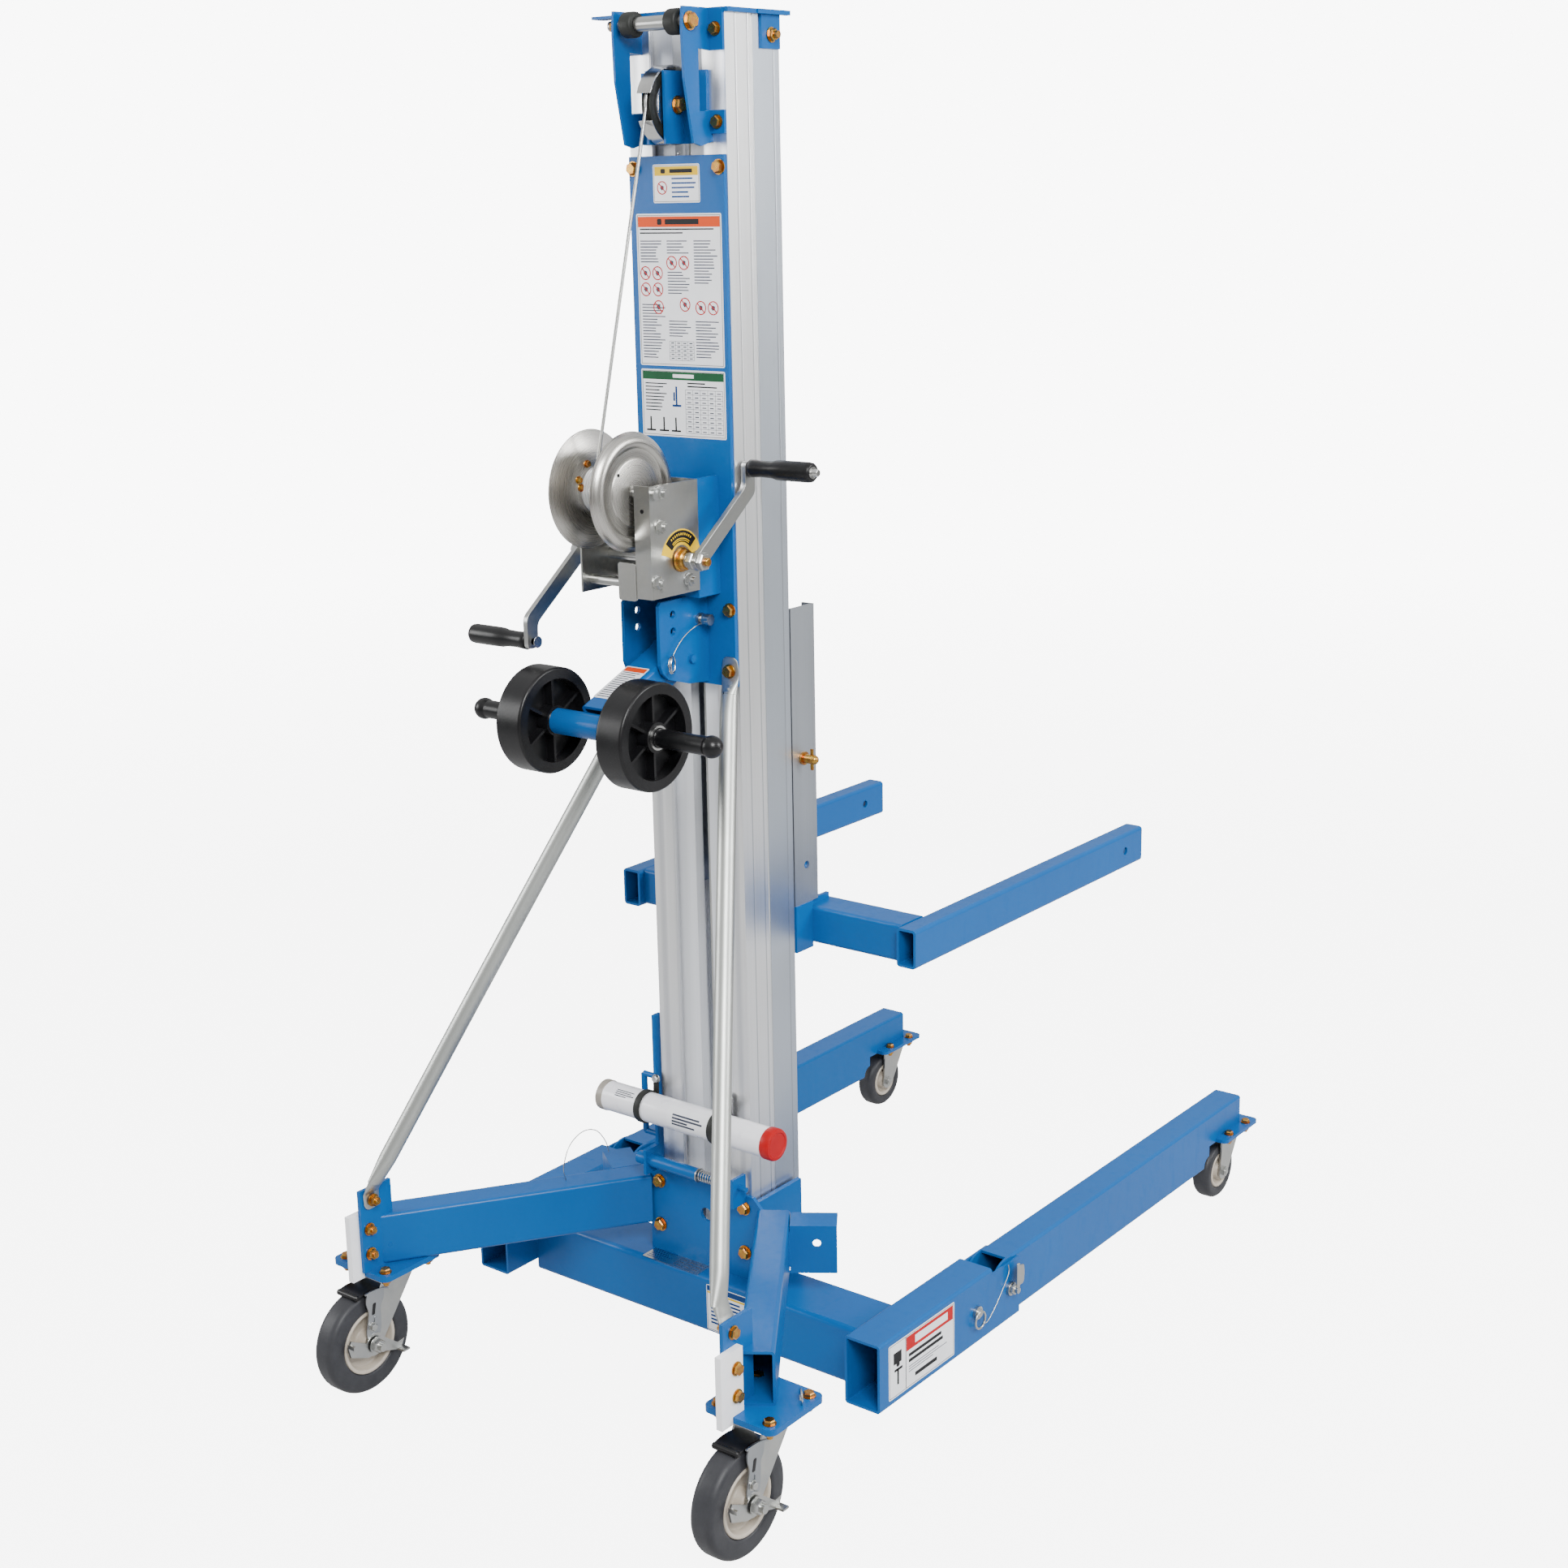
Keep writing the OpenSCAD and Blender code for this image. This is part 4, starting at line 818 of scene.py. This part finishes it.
# %% Document tube
PAPER = moulded("white vinyl", (0.8, 0.81, 0.84), (0.86, 0.87, 0.89), 0.3)
GREY_INK = moulded("grey print", (0.04, 0.045, 0.07), (0.06, 0.066, 0.09), 0.45, Specular_IOR_Level=0.2)
mid = (0, -91, 403)
tube = [(lathe([(0, -168), (22.4, -168), (23, -167), (23, 146), (0, 146)], mid, n=72), WHITE),
        (lathe([(0, 145.5), (24.2, 145.5), (24.5, 146.5), (24.5, 158.5), (23, 161.4), (19, 162), (18, 161),
                (0, 161)], mid, n=72), RED),
        (lathe([(0, -178), (22, -178), (23.8, -176.5), (24, -166), (23.2, -165), (0, -165)], mid, n=72), SMOKE)]
for x in (-92, 52):
    tube.append((lathe([(23.1, x - 5), (25, x - 6), (25.8, x - 4), (25.8, x + 4), (25, x + 6), (23.1, x + 5)],
                       mid, n=60, ring=True), RUBBER))
    tube.append((plate(rounded([(-5, 0), (5, 0), (4, 34), (-4, 34)], 4), 3, (x, -66, 412), (1, 0, 0),
                       (0, 0, 1)), RUBBER))
    tube += [(s, ZINC) for s in bolt((x, -66, 440), (0, -1, 0), 3.4)]
rng = np.random.default_rng(7)
tube.append((arc(23.2, 120, 205, strip(0.3, 82), (8, -91, 403), 24), PAPER))
for a0, x0, w in ((148, -22, 52), (160, -22, 58), (172, -22, 30), (183, -22, 44)):
    tube.append((arc(23.5, a0, a0 + 6.5, strip(0.3, w), (x0 + w / 2, -91, 403), 4), GREY_INK))
tube += [(arc(23.3, a0, a0 + 3, strip(0.3, w), (-140 + w / 2, -91, 403), 3), GREY_INK) for a0,
         w in ((118, 34), (126, 30), (134, 36), (142, 22))]
piece("document_tube", "base", "white_plastic", tube, crisp=30, replaces=["manual_tube"])

# %% [markdown]
# ## Stickers
# The stickers hold coloured headers, bars for lines of print, round signs and small tables, and no words.
# Each is a stack of thin sheets in one plane, placed from its lower left corner in millimetres.

# %% A sticker from thin sheets
ORANGE = moulded("orange print", (0.6, 0.05, 0.0), (0.66, 0.06, 0.0), 0.35, Specular_IOR_Level=0.2)
GREEN = moulded("green print", (0.0, 0.06, 0.018), (0.0, 0.08, 0.024), 0.35, Specular_IOR_Level=0.2)
RED_INK = moulded("red print", (0.4, 0.0, 0.003), (0.46, 0.002, 0.006), 0.35, Specular_IOR_Level=0.2)
BLUE_INK = moulded("blue print", (0.0, 0.03, 0.14), (0.0, 0.04, 0.18), 0.35, Specular_IOR_Level=0.2)


class Sticker:
    """Thin sheets stacked on a plane; each call gives a box or sign in the sticker's own millimetres."""

    def __init__(self, origin, e1, e2, w, h):
        self.o, self.e1, self.e2 = np.array(origin, float), unit(e1), unit(e2)
        self.out = np.cross(self.e1, self.e2)
        self.parts = []
        self.box(0, 0, w, h, PAPER, 0.12, 3)

    def at(self, x, y, lift=0.0):
        return self.o + x * self.e1 + y * self.e2 + lift * self.out

    def box(self, x0, y0, x1, y1, finish, lift=0.2, corner=0):
        q = [(x0, y0), (x1, y0), (x1, y1), (x0, y1)]
        q = rounded(q, corner) if corner else q
        self.parts.append((plate(q, lift, self.o, self.e1, self.e2), finish))

    def lines(self, x0, y0, x1, y1, pitch=4.0, thick=1.3, finish=None):
        """Bars of uneven length, like lines of print, from the top down."""
        for k, y in enumerate(np.arange(y1 - thick, y0, -pitch)):
            w = (x1 - x0) * (0.55 + 0.45 * rng.random())
            self.box(x0, y, x0 + w, y + thick, finish or GREY_INK)

    def frame(self, x0, y0, x1, y1, t, finish):
        for q in ((x0, y0, x1, y0 + t), (x0, y1 - t, x1, y1), (x0, y0, x0 + t, y1), (x1 - t, y0, x1, y1)):
            self.box(*q, finish)

    def sign(self, x, y, r):
        """A ring with a bar across it and a plain figure inside."""
        self.parts.append((lathe([(0, 0), (0.4 * r, 0), (0.4 * r, 0.22), (0, 0.22)], self.at(x, y), self.out,
                                 5), GREY_INK))
        self.parts.append((lathe([(0.84 * r, 0), (r, 0), (r, 0.3), (0.84 * r, 0.3)], self.at(x, y), self.out,
                                 32, ring=True), RED_INK))
        d, n = np.array([0.7, -0.7]) * r * 0.86, np.array([0.7, 0.7]) * r * 0.08
        c = np.array([x, y])
        self.parts.append((plate([c - d - n, c + d - n, c + d + n, c - d + n], 0.32, self.o, self.e1, self.e2),
                           RED_INK))

    def table(self, x0, y0, x1, y1, nx, ny):
        for k in range(nx + 1):
            x = x0 + (x1 - x0) * k / nx
            self.box(x - 0.25, y0, x + 0.25, y1, GREY_INK)
        for k in range(ny + 1):
            y = y0 + (y1 - y0) * k / ny
            self.box(x0, y - 0.25, x1, y + 0.25, GREY_INK)
            if k < ny:
                for j in range(nx):
                    self.box(x0 + (j + 0.25) * (x1 - x0) / nx, y + 2, x0 + (j + 0.75) * (x1 - x0) / nx, y + 3.4,
                             GREY_INK)


X, Z = (1, 0, 0), (0, 0, 1)
upper = Sticker((-41, -66, 1741), X, Z, 83, 51)
upper.box(3, 36, 80, 48, VINYL_Y)
upper.box(30, 39.5, 70, 44.5, INK, 0.3)
upper.box(14, 39, 22, 45, INK, 0.3, 2)
upper.sign(16, 20, 9)
upper.lines(33, 6, 78, 33, 6, 2, BLUE_INK)
upper.frame(1.5, 1.5, 81.5, 49.5, 0.6, INK)

main = Sticker((-74, -66, 1521), X, Z, 152, 206)
main.frame(2, 2, 150, 204, 0.7, INK)
main.box(3, 188, 149, 202, ORANGE)
main.box(52, 191.5, 112, 198.5, INK, 0.3)
main.box(38, 191, 46, 199, INK, 0.3, 2.5)
main.lines(6, 176, 146, 186, 5, 1.8, INK)
for x, rows in ((6, ((140, 170), (8, 84))), (54, ((150, 170), (96, 128), (40, 62))),
                (102, ((110, 170), (12, 62)))):
    for lo, hi in rows:
        main.lines(x, lo, x + 42, hi, 4, 1.4)
for x, y in ((14, 126), (36, 126), (14, 104), (36, 104), (36, 80), (62, 140), (84, 140), (84, 84), (112, 80),
             (134, 80)):
    main.sign(x, y, 9.5)
main.table(54, 8, 98, 34, 4, 5)

setup = Sticker((-74, -66, 1423), X, Z, 152, 93)
setup.frame(2, 2, 150, 91, 0.7, INK)
setup.box(3, 79, 149, 90, GREEN)
setup.box(58, 82, 96, 87, PAPER, 0.3)
setup.lines(7, 34, 48, 74, 4.6, 1.5, INK)
setup.box(62, 44, 65, 70, BLUE_INK)
setup.box(56, 42, 72, 45, BLUE_INK)
setup.box(58, 50, 61, 62, BLUE_INK)
for x in (14, 38, 60):
    setup.box(x, 8, x + 2.6, 27, INK)
    setup.box(x - 7, 7, x + 10, 9.4, INK)
setup.lines(84, 68, 140, 76, 4.5, 1.8, INK)
setup.table(80, 6, 147, 66, 5, 9)

flank = Sticker((395, -144, 88), (0, 1, 0), Z, 168, 86)
flank.frame(2, 2, 166, 84, 0.8, INK)
flank.box(44, 60, 164, 82, RED_INK)
flank.box(66, 65, 150, 77, PAPER, 0.3)
flank.lines(50, 38, 160, 54, 9, 5, INK)
flank.lines(50, 24, 160, 34, 4, 1.2)
flank.lines(66, 8, 144, 18, 12, 6, INK)
flank.box(42, 3, 43.4, 83, INK)
flank.box(12, 52, 32, 70, INK)
flank.box(21, 18, 25, 44, INK)
flank.box(14, 40, 34, 44, INK)
flank.parts.append((lathe([(0, 0), (4, 0), (4, 0.3), (0, 0.3)], flank.at(23, 50), flank.out, 16), INK))

back = Sticker((23, -98, 66), X, Z, 78, 76)
back.box(2, 66, 76, 74, BLUE_INK)
back.box(2, 62, 76, 65, VINYL_Y)
back.lines(8, 8, 34, 58, 6, 3, BLUE_INK)
back.lines(44, 8, 70, 58, 6, 3, BLUE_INK)
back.frame(1.2, 1.2, 76.8, 74.8, 0.8, BLUE_INK)

rating = Sticker((-106, -98, 152), X, (0, 1, 0), 112, 56)
rating.parts[0] = (rating.parts[0][0], STEEL)
rating.box(3, 44, 109, 53, BLUE_INK)
rating.lines(5, 5, 50, 42, 5, 1.6, BLUE_INK)
rating.table(58, 6, 107, 40, 3, 4)
piece("stickers", "base", "white_plastic",
      upper.parts + main.parts + setup.parts + flank.parts + back.parts + rating.parts, crisp=20)

arm = unit((0, -170, -70))
slope = Sticker((-24, -248, 1082.6), X, -arm, 42, 80)
slope.box(2, 68, 40, 78, ORANGE)
slope.lines(4, 4, 38, 66, 5, 1.8)
piece("arm_sticker", "dolly", "white_plastic", slope.parts, crisp=20)

# %% [markdown]
# ## Caster brakes
# Each rear caster has a black shoe that lies over the tread, a stamped bracket that carries it, and a
# butterfly pedal. The bracket is a plate whose outline narrows toward the axle.

# %% Brake shoes and brackets
SHOE_R = 84.8
for side, _, s in SIDES:
    wheel = np.array([s * REAR_X, *REAR_AXLE])
    lip = wheel + (0, SHOE_R * np.cos(np.radians(105)), SHOE_R * np.sin(np.radians(105)))
    shoe = [(arc(SHOE_R, 60, 104, strip(3.4, 44), wheel, 20), BLACK),
            (lathe([(0, -22), (3, -22), (4.6, -20), (4.6, 20), (3, 22), (0, 22)], lip, n=20), BLACK)]
    web = rounded([(-8, 86), (26, 84), (24, 66), (17, 58), (16, 24), (11, 8), (-11, 8), (-14, 22), (-6, 54),
                   (-12, 70)], 6)
    x_out = wheel[0] + 24.6
    shoe += [(plate(web, 2.6, (x_out, wheel[1], wheel[2]), (0, 1, 0), Z), STAMPED),
             (arc(85.6, 66, 98, strip(2.4, 3), wheel + (25.9, 0, 0), 12), STAMPED),
             (plate(rounded([(-2, 48), (4, 48), (8, 66), (2, 66)], 2), 0.6, (x_out + 2.5, wheel[1], wheel[2]),
                    (0, 1, 0), Z), BLACK),
             (plate(rounded([(2, 30), (5, 30), (6, 44), (3, 44)], 1.5), 1.4, (x_out + 2.5, wheel[1], wheel[2]),
                    (0, 1, 0), Z), STAMPED)]
    shoe += [(q, ZINC) for q in bolt((x_out + 2.6, wheel[1] - 2, wheel[2] + 30), X, 3.6)]
    piece(f"brake_bracket_{side}", f"rear_swivel_{side}", "zinc", shoe, bevel=0.5)
    cap = [(q, ZINC) for q in bolt(wheel + (31, 0, 0), X, 6.4, head=False)]
    piece(f"axle_nut_{side}", f"rear_swivel_{side}", "zinc", cap)

# %% [markdown]
# ## Springs, rings and lanyards
# The hold-down bar is pushed out by a coil spring, which is a circle carried along a helix. The loose
# pins hang on short wires, and both ends of each wire go into parts of the machine.

# %% Spring, rings and clips
def washer(r0, r1, x0, x1, c):
    """A flat ring about the x axis between two radii, from x0 to x1."""
    return lathe([(r0, x0), (r1, x0), (r1, x1), (r0, x1)], c, n=28, ring=True)


t = np.linspace(0, 9 * 2 * np.pi, 9 * 18)
coil = np.stack([4 + 42 * t / t[-1], -82 + 8 * np.cos(t), 310 + 8 * np.sin(t)], -1)
piece("bar_spring", "hold_down", "zinc",
      [(sweep(coil, ring_profile(1, 8), ref=X), STEEL), (washer(4.2, 11, 47, 49, (0, -82, 310)), ZINC),
      (washer(4.2, 11, 1, 3, (0, -82, 310)), ZINC)])


def hoop(centre, e1, e2, r, wire):
    """A closed ring of wire: centre + r (cos t e1 + sin t e2)."""
    t = np.linspace(0, 2 * np.pi, 41)[:-1]
    p = np.asarray(centre, float) + r * (np.cos(t)[:, None] * unit(e1) + np.sin(t)[:, None] * unit(e2))
    return sweep(p, ring_profile(wire, 10), ref=np.cross(e1, e2), closed=True)


piece("split_ring", "base", "zinc", [(hoop((43, -156, 1119), (0.35, -1, 0), Z, 12, 1.2), STEEL),
      (hoop((44, -155, 1119), (0.5, -1, 0.1), Z, 12, 1.2), STEEL),
      (hoop((409, -366, 205), (0.7, -0.7, 0), Z, 10, 1.6), STEEL)])
dolly_axle = (0, -274, 1048)
bearing = [(washer(9.6, 17, s * x - 1.2, s * x + 1.2, dolly_axle), STEEL) for s in (-1, 1)
           for x in (67.6, 116.4)]
bearing += [(washer(12, 14, s * x - 1.6, s * x + 1.6, dolly_axle), INK) for s in (-1, 1) for x in (67.4, 116.6)]
piece("wheel_bearings", "dolly", "zinc", bearing)
clip = [(plate(rounded([(-9, -16), (9, -16), (11, 0), (9, 16), (-9, 16), (-7, 0)], 5), 2.4, (403.2, 192, 150),
               (0, 1, 0), Z), ZINC),
        (plate(rounded([(-4, -20), (4, -20), (4, 22), (-4, 22)], 3), 2, (406, 182, 152), (0, 1, 0), Z), ZINC)]
clip += [(q, ZINC) for q in bolt((398, 178, 131), X, 5, head=False)]
piece("pivot_clip", "base", "zinc", clip, bevel=0.4)


def lanyard(name, points, body="base", wire=1.6):
    """A short wire on a smooth curve through its points."""
    p = smooth_path(points, 36)
    o = piece(name, body, "zinc", [(sweep(p, ring_profile(wire / 2, 10), ref=(0.2, 0.1, 1)), ZINC)], crisp=80)


lanyard("dolly_lanyard", [(47, -94, 1168), (49, -112, 1166), (46, -130, 1156), (44, -144, 1143),
                          (43.5, -154, 1131)])
lanyard("leg_lanyard_r", [(398, 168, 174), (405, 158, 168), (408, 138, 152), (407, 116, 128), (405, 100, 113),
                          (404, 90, 112)])
lanyard("leg_lanyard_l", [(-200, -163, 278), (-201, -166, 300), (-202, -150, 330), (-202, -120, 343),
                          (-203, -88, 334), (-204, -66, 308),
                          (-205, -58, 286)])

# %% Sizes and finish
print(total)
